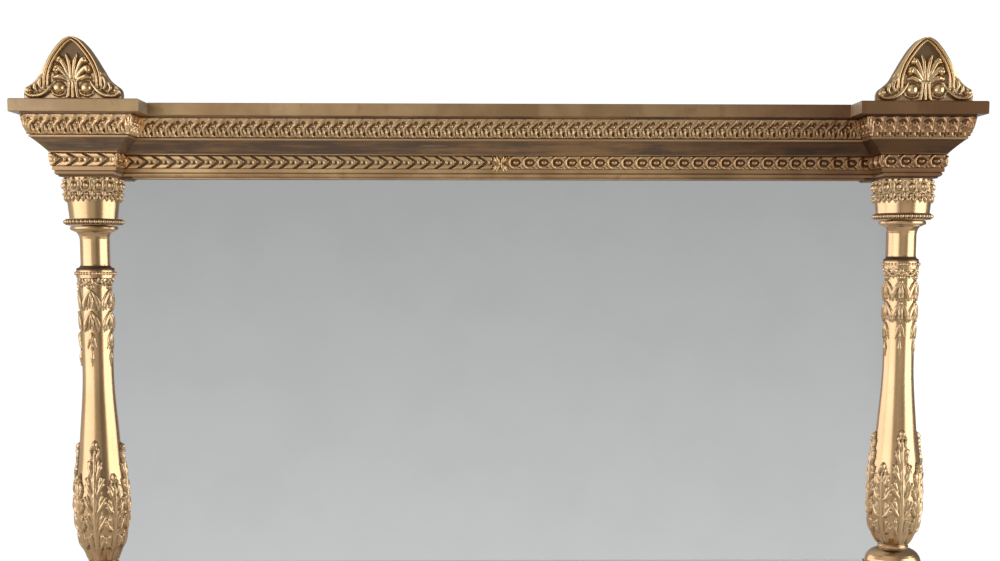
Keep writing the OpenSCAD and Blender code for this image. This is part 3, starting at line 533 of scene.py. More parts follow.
def hollowness(h, reach, depth, ground=-9.0):
    """0 on crests to 1 in the hollows and on the ground, for soiling and painted shade there."""
    sunk = 0.35 + (soften(h, reach) - h) / depth
    return np.clip(np.maximum(sunk, 1.15 - (h - ground) / 1.3), 0, 1)


# ---------- meshes from grids ----------

class Shape:
    """Points, faces and hollowness of one or more closed solids."""

    def __init__(self):
        self.points, self.faces, self.hollow = [], [], []
        self.count = 0

    def add(self, points, faces, hollow):
        self.points.append(points)
        self.faces += [tuple(int(v) + self.count for v in face) for face in faces]
        self.hollow.append(hollow)
        self.count += len(points)
        return self

    def mesh(self, name):
        made = bpy.data.meshes.new(name)
        made.from_pydata((np.vstack(self.points) * MM).tolist(), [], self.faces)
        values = made.attributes.new("hollow", "FLOAT", "POINT")
        values.data.foreach_set("value", np.concatenate(self.hollow).astype(np.float32))
        made.shade_smooth()
        made.update()
        return made


def slab(front, back, hollow, keep=None):
    """Closed solid between two point grids; keep marks the cells that stay."""
    rows, columns = front.shape[:2]
    index = np.arange(rows * columns).reshape(rows, columns)
    cells = np.stack([index[:-1, :-1], index[1:, :-1], index[1:, 1:], index[:-1, 1:]], axis=-1)
    cells = cells[keep] if keep is not None else cells.reshape(-1, 4)
    n = rows * columns
    sides = np.concatenate([cells[:, [k, (k + 1) % 4]] for k in range(4)])
    forward = {(a, b) for a, b in sides.tolist()}
    walls = [(b, a, a + n, b + n) for a, b in forward if (b, a) not in forward]
    faces = cells.tolist() + (cells[:, ::-1] + n).tolist() + sorted(walls)
    points = np.vstack([front.reshape(-1, 3), back.reshape(-1, 3)])
    used = np.unique(np.concatenate([np.ravel(face) for face in (cells, cells + n)]))
    place = np.full(2 * n, -1)
    place[used] = np.arange(len(used))
    faces = [[place[v] for v in face] for face in faces]
    both = np.concatenate([hollow.ravel(), np.zeros(n)])
    return points[used], faces, both[used]


def cells_over(height, level=0.05):
    """The cells of a grid that have any corner over the level."""
    shown = height > level
    return shown[:-1, :-1] | shown[1:, :-1] | shown[1:, 1:] | shown[:-1, 1:]


def read_mesh(mesh):
    """A mesh's points, faces and hollowness, as Shape.add takes them."""
    points = np.empty(len(mesh.vertices) * 3)
    mesh.vertices.foreach_get("co", points)
    hollow = np.zeros(len(mesh.vertices), np.float32)
    mesh.attributes["hollow"].data.foreach_get("value", hollow)
    return points.reshape(-1, 3) / MM, [tuple(p.vertices) for p in mesh.polygons], hollow


def linked(name, data):
    """A new object in the scene."""
    thing = bpy.data.objects.new(name, data)
    bpy.context.scene.collection.objects.link(thing)
    return thing


def cut(mesh, at, normal):
    """Cuts the solids at a plane, drops what lies on its normal's side and caps the ends."""
    work = bmesh.new()
    work.from_mesh(mesh)
    bmesh.ops.bisect_plane(work, geom=work.verts[:] + work.edges[:] + work.faces[:],
                           plane_co=Vector(at) * MM, plane_no=Vector(normal), clear_outer=True)
    open_edges = [edge for edge in work.edges if edge.is_boundary]
    bmesh.ops.holes_fill(work, edges=open_edges, sides=0)
    work.to_mesh(mesh)
    work.free()


# ---------- geometry node trees: a straight row, and a ring about an axis ----------

class Layout(Tree):
    """A geometry node tree with named inputs, run once over a carved unit."""

    def __init__(self, name, inputs):
        self.tree = bpy.data.node_groups.new(name, "GeometryNodeTree")
        for label, kind in inputs:
            self.tree.interface.new_socket(label, in_out="INPUT", socket_type="NodeSocket" + kind)
        self.tree.interface.new_socket("Geometry", in_out="OUTPUT",
                                       socket_type="NodeSocketGeometry")
        self.given = self.node("NodeGroupInput").outputs

    def lay(self, start, offset, angle, size=None):
        """Count units on a line, turned about Z, made real and given their material."""
        given = self.given
        unit = self.node("GeometryNodeObjectInfo", {}, {"Object": given["Unit"]})
        line = self.node("GeometryNodeMeshLine", {"mode": "OFFSET"},
                         {"Count": given["Count"], "Start Location": start, "Offset": offset})
        turn = self.node("ShaderNodeCombineXYZ", {}, {"Z": angle}).outputs[0]
        places = {"Points": line.outputs[0], "Instance": unit.outputs["Geometry"],
                  "Rotation": turn}
        if size:
            places["Scale"] = size
        units = self.node("GeometryNodeInstanceOnPoints", {}, places).outputs[0]
        real = self.node("GeometryNodeRealizeInstances", {}, {0: units}).outputs[0]
        painted = self.node("GeometryNodeSetMaterial", {},
                            {"Geometry": real, "Material": given["Material"]}).outputs[0]
        self.node("NodeGroupOutput", {}, {0: painted})

    def run(self, unit_mesh, material, **values):
        """Lays out the unit and returns the result as a plain mesh."""
        unit = linked("unit", unit_mesh)
        host = linked("host", bpy.data.meshes.new("host"))
        modifier = host.modifiers.new("layout", "NODES")
        modifier.node_group = self.tree
        values = {"Unit": unit, "Material": material, **values}
        for item in self.tree.interface.items_tree:
            if item.in_out == "INPUT":
                modifier[item.identifier] = values[item.name]
        graph = bpy.context.evaluated_depsgraph_get()
        mesh = bpy.data.meshes.new_from_object(host.evaluated_get(graph))
        host.modifiers.remove(modifier)
        bpy.data.objects.remove(host)
        bpy.data.objects.remove(unit)
        return mesh


def row_layout():
    """Count units at equal steps from Start, each turned about Z and stretched along the row."""
    t = Layout("ornament_row", [("Unit", "Object"), ("Material", "Material"), ("Start", "Vector"),
                                ("Step", "Vector"), ("Count", "Int"), ("Turn", "Float"),
                                ("Stretch", "Float")])
    size = t.node("ShaderNodeCombineXYZ", {}, {"X": t.given["Stretch"], "Y": 1, "Z": 1}).outputs[0]
    t.lay(t.given["Start"], t.given["Step"], t.given["Turn"], size)
    return t


def ring_layout():
    """Count units about an upright axis, the first at angle First and the rest Step apart."""
    t = Layout("ornament_ring", [("Unit", "Object"), ("Material", "Material"), ("Axis", "Vector"),
                                 ("Count", "Int"), ("First", "Float"), ("Step", "Float")])
    number = t.node("GeometryNodeInputIndex").outputs[0]
    angle = t.node("ShaderNodeMath", {"operation": "MULTIPLY_ADD"},
                   {0: number, 1: t.given["Step"], 2: t.given["First"]}).outputs[0]
    t.lay(t.given["Axis"], (0, 0, 0), angle)
    return t


ROW = row_layout()
RING = ring_layout()
COMPOSITION = finishes["gilt_composition"]


def finish_piece(node, shape, finish=COMPOSITION):
    """Links a finished shape as the piece that stands for a CAD node."""
    name = "carved_" + node
    mesh = shape.mesh(name)
    mesh.materials.append(finish)
    piece = linked(name, mesh)
    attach(piece, "root")
    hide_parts(node)


# ---------- the two bands on the entablature ----------

# heights over a bed or a turned surface: a band's ground, the most at its rim, what is left out,
# the least that is kept, and how deep the back of the carving lies in a turned surface
BAND_GROUND = 0.3
RIM_HEIGHT = 1.6
SUNK = -0.7
THINNEST = 0.02
BURIED = 1.6


def bed_normal(bed):
    d = bed[1] - bed[0]
    return np.array([d[1], -d[0]]) / np.hypot(*d)


def bed_length(bed):
    return np.hypot(*(bed[1] - bed[0]))


def on_bed(bed, down, height):
    """[reach, depth] at a distance down the bed, lifted square to it."""
    t = (down / bed_length(bed))[..., None]
    return bed[0] + (bed[1] - bed[0]) * t + bed_normal(bed) * height[..., None]


def band_unit(name, bed, left_edge, carve, across, along):
    """One period of a band on its bed, between two parallel edges one pitch apart."""
    pitch, edge_points = left_edge
    u, v = grid(np.linspace(0, 1, across + 1), np.linspace(0, 1, along + 1))
    down = v * bed_length(bed)
    edge = np.interp(down, [p[1] for p in edge_points], [p[0] for p in edge_points])
    x = edge + u * pitch
    height = carve(x, down)
    rim = (v == 0) | (v == 1)
    height = np.where(rim, np.minimum(height, RIM_HEIGHT), height)
    out, under = on_bed(bed, down, height), on_bed(bed, down, 0 * height)
    front = np.stack([x, -out[..., 0], -out[..., 1]], axis=-1)
    back = np.stack([x, -under[..., 0], -under[..., 1]], axis=-1)
    hollow = hollowness(height, 5, 2.2, BAND_GROUND)
    return Shape().add(*slab(front[::-1], back[::-1], hollow[::-1])).mesh(name)


def repeated(x, y, pitch, ground, raised, sunk, shift=0):
    """Raised marks less sunk ones, over a ground and repeated at the pitch."""
    lanes = [x - k * pitch + shift for k in (-1, 0, 1)]
    height = highest(ground + 0 * x, *[marks(s, y, raised) for s in lanes])
    return np.maximum(height - highest(*[marks(s, y, sunk) for s in lanes]), BAND_GROUND)


SLANTED = [
    ([(17.6, 2.4), (13.6, 6.6), (9.6, 10.8), (5.6, 15), (3.8, 20), (4.4, 27.6)],
     [2.2, 3.0, 3.1, 2.8, 2.5, 2.1], [3.0, 4.4, 5.2, 5.2, 5.2, 4.2], 0.7),
    (0.4, 12.8, 2.8, 5.8, 3.2), ([(0.6, 13.6), (3.0, 17.4)], 1.7, 4.8), (10.8, 10.8, 2.5, 6.0),
    ([(8.6, 18.4), (9.7, 23.6), (9.8, 29)], [1.4, 2.6, 2.0], [3.4, 5.4, 4.0]),
    (14.8, 17, 2.5, 4.8),
    ([(14.8, 18.4), (15.8, 24), (17.4, 30.4)], [1.5, 2.3, 1.4], [3.8, 4.8, 3.2]),
]
SLANTED_PITS = [
    (3.8, 7.4, 3.4, 3.6, 2.3), (12.4, 21, 1.9, 3.4, 2.6), (0.6, 26, 1.6, 3.6, 4.6),
    ([(18.4, 8.6), (13.6, 13), (10.2, 16.6), (12, 19)], 1.1, 3.4),
    ([(-5, 33), (8, 33), (25, 33)], 1.6, 3),
]


def slanted_leaf(x, y):
    """A blade leaning over to a curl, its stem ending in tongues, with dark pits between."""
    return repeated(x, y, LEAF_PITCH, BAND_GROUND + 1.5, SLANTED, SLANTED_PITS, 9)


UPRIGHT_WINGS = [([(k * 1.5, 14.6), (k * 5.2, 17), (k * 8.4, 22)], [1.4, 2.0, 1.4], [3.6, 3.8, 3.0],
                  0.5) for k in (-1, 1)]
UPRIGHT_LEAF = UPRIGHT_WINGS + [
    ([(-8.0, 8.4), (-4.6, 3.6), (0, 1.9), (4.6, 3.6), (8.0, 8.4)],
     [1.3, 1.7, 1.9, 1.7, 1.3], [2.8, 3.4, 3.8, 3.4, 2.8]),
    (0, 13.6, 3.0, 6.0, 3.6), ([(0, 16), (0, 22)], [2.2, 1.2], [4.4, 3.0]),
    (7.6, 24.2, 2.5, 5.0, 3.0), (12.4, 24.2, 2.5, 5.0, 3.0), (0, 28, 2.3, 3.6),
]
UPRIGHT_PITS = [
    ([(-5.4, 9.4), (0, 6.4), (5.4, 9.4)], [1.3, 1.9, 1.3], 3.6),
    (5.0, 27.6, 1.8, 2.8, 2.6), (-5.0, 27.6, 1.8, 2.8, 2.6), (10, 30.6, 2.6, 3.0, 1.8),
]


def upright_leaf(x, y):
    """An arch over a dark hollow and a bright bud, with wings and pairs of buds at the foot."""
    return repeated(x, y, LEAF_PITCH, BAND_GROUND + 1.5, UPRIGHT_LEAF, UPRIGHT_PITS)


LAUREL_SLOPE = 1.3
LAUREL_MID = 10.6


def laurel_pair(x, y):
    """Two plump leaves meeting in a point, deeply undercut behind, with a bud and a pit between."""
    side = abs(y - LAUREL_MID)
    q = (x + LAUREL_SLOPE * side) / LAUREL_PITCH % 1
    rise = np.clip((q - 0.22) / 0.08, 0, 1)
    low = (y > LAUREL_MID) * 0.7
    plump = np.sqrt(np.clip(1 - ((side - 6.4 - low) / (4.3 + low)) ** 2, 0, 1))
    blade = (1.9 + 3.0 * plump) * rise * (0.92 + 0.12 * q)
    vein = 0.6 * np.exp(-((side - 6.2) / 0.6) ** 2) * (q > 0.4)
    along = [x - k * LAUREL_PITCH for k in (-1, 0, 1)]
    buds = [ball(s, y, 15.0, LAUREL_MID, 4.4, 4.0, 2.9) for s in along]
    neck = [ball(s, y, 6.4, LAUREL_MID, 2.3, 4.4, 2.0) for s in along]
    pits = highest(*[ball(s, y, 10.4, LAUREL_MID + 1.6, 2.3, 3.2, 2.2) for s in along])
    return np.maximum(highest(blade - vein, *buds, *neck) - pits, BAND_GROUND)


RING_BOW = [([(-4.0, 1.8), (-8.6, 5.2), (-10.4, LAUREL_MID), (-8.6, 16), (-4.0, 19.6)],
             [1.3, 2.8, 3.4, 2.8, 1.3], [4.4, 6.6, 7.4, 6.6, 4.4])]
RING_PITS = [(0.6, LAUREL_MID, 8.2, 5.4, 6.2), ([(4.6, 16.8), (8.6, 20.4)], 0.9, 2.4)]


def laurel_ring(x, y):
    """A seed in a dark ring, hugged on one side by a bowed leaf, between flatter leaves."""
    seeds = [ball(x - k * LAUREL_PITCH, y, 0.6, LAUREL_MID, 5.8, 5.2, 3.9) for k in (-1, 0, 1)]
    return highest(repeated(x, y, LAUREL_PITCH, 2.6, RING_BOW, RING_PITS), *seeds)


def laurel_edge():
    downs = np.linspace(0, bed_length(LAUREL_BED), 9)
    return LAUREL_PITCH, [(-LAUREL_SLOPE * abs(d - LAUREL_MID), d) for d in downs]


SLANT_EDGE = (LEAF_PITCH, [(9.3, 0), (3.0, 6.3), (-2.6, 11.5), (-6.7, 16.7), (-8.5, 22.5),
                           (-8.9, 34)])
STRAIGHT_EDGE = (LEAF_PITCH, [(-10, 0), (-10, 34)])
RING_EDGE = (LAUREL_PITCH, [(-11.5, 0), (-11.5, 22)])


def lay_leg(shape, unit, pitch, start, end, turn, planes):
    """One straight run of units from start to end in plan, cut at the given upright planes."""
    start, end = np.array(start, float), np.array(end, float)
    length = np.hypot(*(end - start))
    count = max(1, round(length / pitch))
    step = (end - start) / count
    first = start - step / 2
    mesh = ROW.run(unit, COMPOSITION, Count=count + 2, Turn=math.radians(turn),
                   Stretch=length / count / pitch,
                   Start=(*(first * MM), cornice_top * MM), Step=(*(step * MM), 0.0))
    for at, normal in planes:
        cut(mesh, (*at, 0), (*normal, 0))
    shape.add(*read_mesh(mesh))
    bpy.data.meshes.remove(mesh)


def block_runs(side, reach):
    """A block's outer, front and inner runs: start, end, turn and the planes that end them."""
    x, y, step_y = side * axis_x, axis_y, axis_y + break_back
    return [
        ((x, y - reach), (x, wall_y), 90 * side, [((x, wall_y), (0, 1)), ((x, y), (-side, -1))]),
        ((x - reach, y), (x + reach, y), 0, [((x, y), (1, 1)), ((x, y), (-1, 1))]),
        ((x, y - reach), (x, step_y - reach), -90 * side,
         [((x, y), (side, -1)), ((x, step_y), (-side, 1))]),
    ]


def block_band(shape, side, bed, unit, pitch):
    for start, end, turn, planes in block_runs(side, bed[:, 0].mean()):
        lay_leg(shape, unit, pitch, start, end, turn, planes)


def corner_leaf(shape, side, bed, spot, half, carve, step=0.8):
    """A leaf folded over a mitre: spot is outer, inner or step, where the centre run starts."""
    n = int(round(half / step))
    d = np.linspace(-half, half, 2 * n + 1)
    v = np.linspace(0, 1, int(bed_length(bed) / step) + 1)
    dd, vv = grid(d, v)
    down = vv * bed_length(bed)
    height = carve(dd, down)
    points = []
    for lift in (height, np.full_like(height, -0.4)):
        out = on_bed(bed, down, lift)
        reach, depth = out[..., 0], out[..., 1]
        away = abs(dd)
        if spot == "outer":
            x = np.where(dd < 0, axis_x + reach, axis_x + reach - away)
            y = np.where(dd < 0, axis_y - reach + away, axis_y - reach)
        elif spot == "inner":
            x = np.where(dd < 0, axis_x - reach + away, axis_x - reach)
            y = np.where(dd < 0, axis_y - reach, axis_y - reach + away)
        else:
            x = np.where(dd < 0, axis_x - reach, axis_x - reach - away)
            y = np.where(dd < 0, axis_y + break_back - reach - away, axis_y + break_back - reach)
        points.append(np.stack([side * x, y, cornice_top - depth], axis=-1))
    made = slab(points[0], points[1], hollowness(height, 4, 2.2), cells_over(height))
    if side < 0:
        made = made[0], [face[::-1] for face in made[1]], made[2]
    shape.add(*made)


def fan_leaf(top, foot, spreading):
    """Ribs spreading upward from one foot, as on the leaves over the mitres."""
    rows = [([(k * 0.8, foot), (k * spreading * 0.7, (top + foot) / 2),
              (k * spreading, top + 1.6 * k * k * 0.8)], [1.2, 2.6, 1.3], [3.4, 4.9, 3.6])
            for k in (-2, -1, 0, 1, 2)] + [(0, foot - 1.0, 2.6, 4.6)]
    return lambda d, down: highest(-0.3 + 0 * d, marks(d, down, rows))


def make_bands():
    slanted = band_unit("slanted_leaf", LEAF_BED, SLANT_EDGE, slanted_leaf, 18, 24)
    upright = band_unit("upright_leaf", LEAF_BED, STRAIGHT_EDGE, upright_leaf, 20, 24)
    laurel = band_unit("laurel_pair", LAUREL_BED, laurel_edge(), laurel_pair, 16, 16)
    ringed = band_unit("laurel_ring", LAUREL_BED, RING_EDGE, laurel_ring, 24, 20)
    front_y = axis_y + break_back
    kinds = (("leaf", LEAF_BED, LEAF_PITCH, (slanted, upright), 11, fan_leaf(2.6, 30.5, 4.3)),
             ("laurel", LAUREL_BED, LAUREL_PITCH, (laurel, ringed), 9, fan_leaf(2.0, 19.4, 3.3)))

    for side_name, side in SIDES.items():
        for kind, bed, pitch, units, half, folded in kinds:
            band = Shape()
            block_band(band, side, bed, units[side > 0], pitch)
            for spot in ("outer", "inner", "step"):
                corner_leaf(band, side, bed, spot, half, folded)
            finish_piece(f"{kind}_band_{side_name}", band)

    mitres = [((side * axis_x, front_y), (side, -1)) for side in SIDES.values()]
    leaves = Shape()
    end = axis_x - LEAF_BED[:, 0].mean()
    lay_leg(leaves, slanted, LEAF_PITCH, (-end, front_y), (end, front_y), 0, mitres)
    finish_piece("leaf_band_centre", leaves)
    branch = Shape()
    end = axis_x - LAUREL_BED[:, 0].mean()
    for side, unit, mitre in ((-1, laurel, mitres[0]), (1, ringed, mitres[1])):
        line = sorted([side * end, side * ROSETTE_HALF])
        lay_leg(branch, unit, LAUREL_PITCH, (line[0], front_y), (line[1], front_y), 0,
                [mitre, ((side * ROSETTE_HALF, 0), (-side, 0))])
    finish_piece("laurel_band_centre", branch)


def make_rosette():
    """Four leaves crossed over a button, at the middle of the laurel band and a little below it."""
    x, down = grid(np.linspace(-13.2, 13.2, 41), np.linspace(0.2, 26.6, 41))
    y = down - 12.4
    corners = [(a, b) for a in (-1, 1) for b in (-1, 1)]
    arms = [stroke(x, y, [(a * 1.5, b * 1.6), (a * out * 0.6, b * far * 0.55), (a * out, b * far)],
                   [1.8, 2.9, 1.8], [6.0, 7.4, 5.8])
            for a, b in corners for out, far in ((11.2, 6.6), (10.0, 10.6), (5.6, 11.8))]
    beds = [stroke(x, y, [(a * 0.5, b * 0.5), (a * 9.6, b * 9.4)], 3.6, 2.9) for a, b in corners]
    height = highest(SUNK + 0 * x, *arms, *beds, ball(x, y, 0, 0, 3.6, 7.4))
    points = []
    for lift in (height, 0 * height + 0.2):
        out = on_bed(LAUREL_BED, down, lift)
        points.append(np.stack([x, axis_y + break_back - out[..., 0], cornice_top - out[..., 1]],
                               axis=-1))
    made = slab(points[0][::-1], points[1][::-1], hollowness(height, 4, 4.5)[::-1],
                cells_over(height)[::-1])
    finish_piece("rosette", Shape().add(*made), finishes["crest_gilt"])


# ---------- ornament wrapped round the columns ----------

def curve(stations, x):
    """Smooth curve through [position, value] stations, held at the ends."""
    p = np.array(stations, float)
    slope = np.empty(len(p))
    slope[1:-1] = (p[2:, 1] - p[:-2, 1]) / (p[2:, 0] - p[:-2, 0])
    slope[0] = (p[1, 1] - p[0, 1]) / (p[1, 0] - p[0, 0])
    slope[-1] = (p[-1, 1] - p[-2, 1]) / (p[-1, 0] - p[-2, 0])
    i = np.clip(np.searchsorted(p[:, 0], x, side="right") - 1, 0, len(p) - 2)
    h = p[i + 1, 0] - p[i, 0]
    t = np.clip((x - p[i, 0]) / h, 0, 1)
    return ((2 * t**3 - 3 * t**2 + 1) * p[i, 1] + (t**3 - 2 * t**2 + t) * slope[i] * h
            + (3 * t**2 - 2 * t**3) * p[i + 1, 1] + (t**3 - t**2) * slope[i + 1] * h)


BULB_R = 41.8
SHAFT_R = 25.1
GARLAND_R = 26
DRUM_R = 43.5
BULB_LINE = {
    "left": [[0.14, 0.828], [0.305, 0.926], [0.45, 0.986], [0.56, 1], [0.64, 0.98], [0.71, 0.935],
             [0.79, 0.866], [0.865, 0.772], [0.93, 0.646], [1, 0.514]],
    "right": [[0.06, 0.81], [0.165, 0.87], [0.276, 0.932], [0.382, 0.976], [0.49, 0.992], [0.6, 1],
              [0.7, 0.995], [0.76, 0.972], [0.82, 0.92], [0.872, 0.858], [0.924, 0.768],
              [0.972, 0.64], [1, 0.525]],
}
SHAFT_LINE = [[18, 31.4], [38, 29.7], [57, 28.1], [77, 26.6], [110, SHAFT_R], [190, SHAFT_R + 0.1],
              [SHAFT_L - RING_TO_DROP, SHAFT_R + 0.4]]
DRUM_LINE = {"left": [38.2, 41.4, 43, 43.6], "right": [43, 44.6, 44.6, 44.4]}
DRUM_DEPTHS = (36, 18, 0)


def shaft_radius(side, z):
    """Radius of a column's shaft and bulb at a height above the underside."""
    tip, foot = leaf_tip_z[side], foot_z[side]
    bulb = [[tip - share * (tip - foot), wide * BULB_R] for share, wide in BULB_LINE[side]]
    return curve(bulb[::-1] + [[tip + up, radius] for up, radius in SHAFT_LINE], z)


def drum_radius(side, z):
    """Radius of a capital's drum."""
    heights = [drum_foot_z[side] + COLLAR_DEEP] + [soffit - down for down in DRUM_DEPTHS]
    return curve(list(zip(heights, DRUM_LINE[side])), z)


def wrapped(name, radius, s, z, height):
    """Carving on a turned surface, centred on the front: s runs round it, z is the true height."""
    height = np.where(height < THINNEST, SUNK, height)
    base = radius(z)
    angle = s / base
    front, back = [np.stack([r * np.sin(angle), -r * np.cos(angle), z], axis=-1)
                   for r in (base + height, base - BURIED)]
    hollow = hollowness(np.maximum(height, 0), 5, 2.6, -0.5)
    return Shape().add(*slab(front, back, hollow, cells_over(height, SUNK + 0.05))).mesh(name)


def hung(name, radius, top, s, down, height):
    """Carving wrapped on a turned surface and measured downward from a top level."""
    return wrapped(name, radius, s[:, ::-1], top - down[:, ::-1], height[:, ::-1])


def ring_of(unit, side, count, first, step):
    """Units about a column's axis, their angles in degrees from the front."""
    mesh = RING.run(unit, COMPOSITION, Axis=(SIDES[side] * axis_x * MM, axis_y * MM, 0.0),
                    Count=count, First=math.radians(first), Step=math.radians(step))
    return read_mesh(mesh)


# height in millimetres of the leaf that the lobes are drawn on
FULL_LEAF = 190


def acanthus_carving(x, t, length, lobes):
    """Tall leaf: a smooth midrib, side lobes of three fingers, a tip that curls outward."""
    a = abs(x)
    size = length / FULL_LEAF
    sheet = np.interp(t / length, [0, 0.12, 0.4, 0.62, 0.82, 0.95, 1],
                      [6.5, 10.5, 13.5, 12.5, 8.5, 4, 1])
    midrib = [(0, -4), (0, 60 * size), (0, 120 * size), (0, length - 8)]
    parts = [stroke(x, t, midrib, [4.6, 3.6, 2.8, 2.2], [4.0, 4.6, 4.8, 5.0], samples=120),
             np.where(a < sheet, 1.9 * (1 - (a / sheet) ** 4), SUNK),
             ball(x, t, 0, length - 5, 4.6, 7.2, 6.4)]
    rows = [(4.4, length - 12, 2.9, 6.4, 4.2),
            ([(1.5, length - 34), (4.4, length - 24), (7.0, length - 13)],
             [1.4, 2.9, 1.3], [3.4, 5.2, 4.8], 0.7)]
    pits = []
    for reach, rise in lobes:
        rise *= size
        root = rise - 46 * size
        rows += [([(1.8, root), (4.0, root + 20 * size), (0.60 * reach, rise - 15), (reach, rise)],
                  [1.4, 2.1, 3.3, 1.5], [2.8, 3.8, 5.8, 5.0], 0.9, 44),
                 ([(0.42 * reach, rise - 20), (0.72 * reach, rise - 13), (1.05 * reach, rise - 9)],
                  [1.4, 2.9, 1.2], [2.6, 4.4, 3.8], 0.7),
                 ([(0.40 * reach, rise - 14), (0.62 * reach, rise - 2), (0.74 * reach, rise + 6)],
                  [1.4, 2.8, 1.2], [3.0, 5.0, 4.4], 0.7)]
        pits.append((0.80 * reach, rise + 6, 2.7, 4.6, 4.4))
    height = highest(*parts, marks(a, t, rows))
    for pit in pits + [(2.6, length - 15.5, 2.2, 3.0, 3.2)]:
        height = height - ball(a, t, *pit)
    return np.maximum(height, SUNK)


# lobes of the tall and the short leaf: reach from the midrib, and height on a full leaf
TALL_LOBES = [(13.5, 40), (16.8, 72), (17.2, 103), (14.8, 132), (10.5, 158)]
SHORT_LOBES = [(13.0, 52), (15.2, 92), (14.6, 132), (10.5, 165)]

# rows of leaves on the bulb: how far below the tallest, lobes, first angle, step and count
ACANTHUS_ROWS = [(3, TALL_LOBES, 0, 90, 1), (10, TALL_LOBES, -90, 180, 2),
                 (58, SHORT_LOBES, -45, 90, 2)]


def make_acanthus(side):
    radius = lambda z: shaft_radius(side, z)
    foot, tip = foot_z[side] + 4, leaf_tip_z[side]
    full = Shape()
    for drop, lobes, first, step, count in ACANTHUS_ROWS:
        length = tip - drop - foot
        s, t = grid(np.arange(-20.5, 20.6, 1.25), np.arange(-1.5, length + 3, 1.35))
        unit = wrapped("acanthus_leaf", radius, s, foot + t, acanthus_carving(s, t, length, lobes))
        full.add(*ring_of(unit, side, count, first, step))
    finish_piece("acanthus_" + side, full)


# the drop's flower has five petals, a fifth of a turn apart in radians
FLOWER_R = 5.6
PETAL_TURN = 1.2566

# marks of the drop: centred ones, and ones that its two sides share
DROP_PETALS = [(FLOWER_R * math.sin(k * PETAL_TURN), 15 - FLOWER_R * math.cos(k * PETAL_TURN),
                3.4, 4.4) for k in range(5)]
DROP_MIDDLE = DROP_PETALS + [
    ([(0, 0), (0, 45), (0, 90), (0, 132)], 1.0, 2.4, 0.0, 50), (0, 15, 2.4, 5.4),
    (0, 26, 2.8, 4.8), (0, 57, 2.8, 4.8), ([(0, 90), (0, 106)], [1.6, 2.0], [5.2, 3.8]),
    (0, 109.6, 3.4, 0.3), ([(0, 114), (0, 123), (0, 135)], [1.2, 3.4, 0.8], [3.0, 4.6, 2.2], 0.6),
]
DROP_SIDE = [
    ([(1, 9), (7, 3.5), (12.5, 6), (11, 12), (5, 12.5), (1, 10)], 1.6, [3.2, 3.6, 3.2]),
    ([(0.3, 88), (2.8, 95), (7.0, 109)], [2.0, 3.2, 0.9], [4.4, 5.0, 3.0], 0.8),
]
for root, wide in ((25, 1.0), (56, 0.9)):
    DROP_SIDE += [
        ([(1.2, root), (7.0 * wide, root + 8), (11.6 * wide, root + 18), (12.2 * wide, root + 29)],
         [1.4, 3.5, 3.9, 1.0], [3.0, 5.0, 4.8, 2.8], 1.1),
        ([(0.4, root + 4), (2.0, root + 14), (2.6, root + 25)], [1.2, 2.0, 0.9],
         [3.4, 4.8, 3.2], 0.7),
        ([(3.6, root + 10), (6.2, root + 18), (7.0, root + 27)], [1.6, 2.8, 2.0], 0.25),
    ]


def drop_carving(x, t):
    """Hanging drop: bow and flower, two pairs of leaves, a bell and a pendant, on one cord."""
    return highest(SUNK + 0 * x, marks(x, t, DROP_MIDDLE), marks(abs(x), t, DROP_SIDE))


def swag_carving(x, t, half):
    """A small swag of leaves hung between two drops."""
    rows = [([(-half, 5), (-0.5 * half, 15), (0, 18.5), (0.5 * half, 15), (half, 5)], 1.9,
             [2.4, 3.4, 4.0, 3.4, 2.4])]
    for k in (-0.72, -0.4, 0, 0.4, 0.72):
        low = 18.5 - 13 * k * k
        rows.append(([(k * half, low - 3), (k * half * 0.92, low + 4.5)], [0.9, 2.4, 0.8],
                     [3.0, 4.4, 2.6], 0.6))
    return highest(SUNK + 0 * x, marks(x, t, rows))


DROP_AT = {"left": (-76, 72), "right": (-72, 58)}
DROP_LENGTHENED = 1.115


def make_garland(side):
    radius = lambda z: shaft_radius(side, z)
    top = leaf_tip_z[side] + SHAFT_L - RING_TO_DROP
    first, step = DROP_AT[side]
    s, t = grid(np.linspace(-15.6, 15.6, 33), np.arange(0, 153, 1.2))
    drop = hung("drop", radius, top, s, t, drop_carving(s, t / DROP_LENGTHENED))
    half = math.radians(step / 2) * GARLAND_R
    s, t = grid(np.linspace(-half, half, 29), np.arange(0, 27, 1.1))
    swag = hung("swag", radius, top, s, t, swag_carving(s, t, half))
    full = Shape().add(*ring_of(drop, side, 3, first, step))
    full.add(*ring_of(swag, side, 2, first + step / 2, step))
    finish_piece("garland_" + side, full)


CAPITAL_LEAVES = 14
CAPITAL_SHOWN = 9


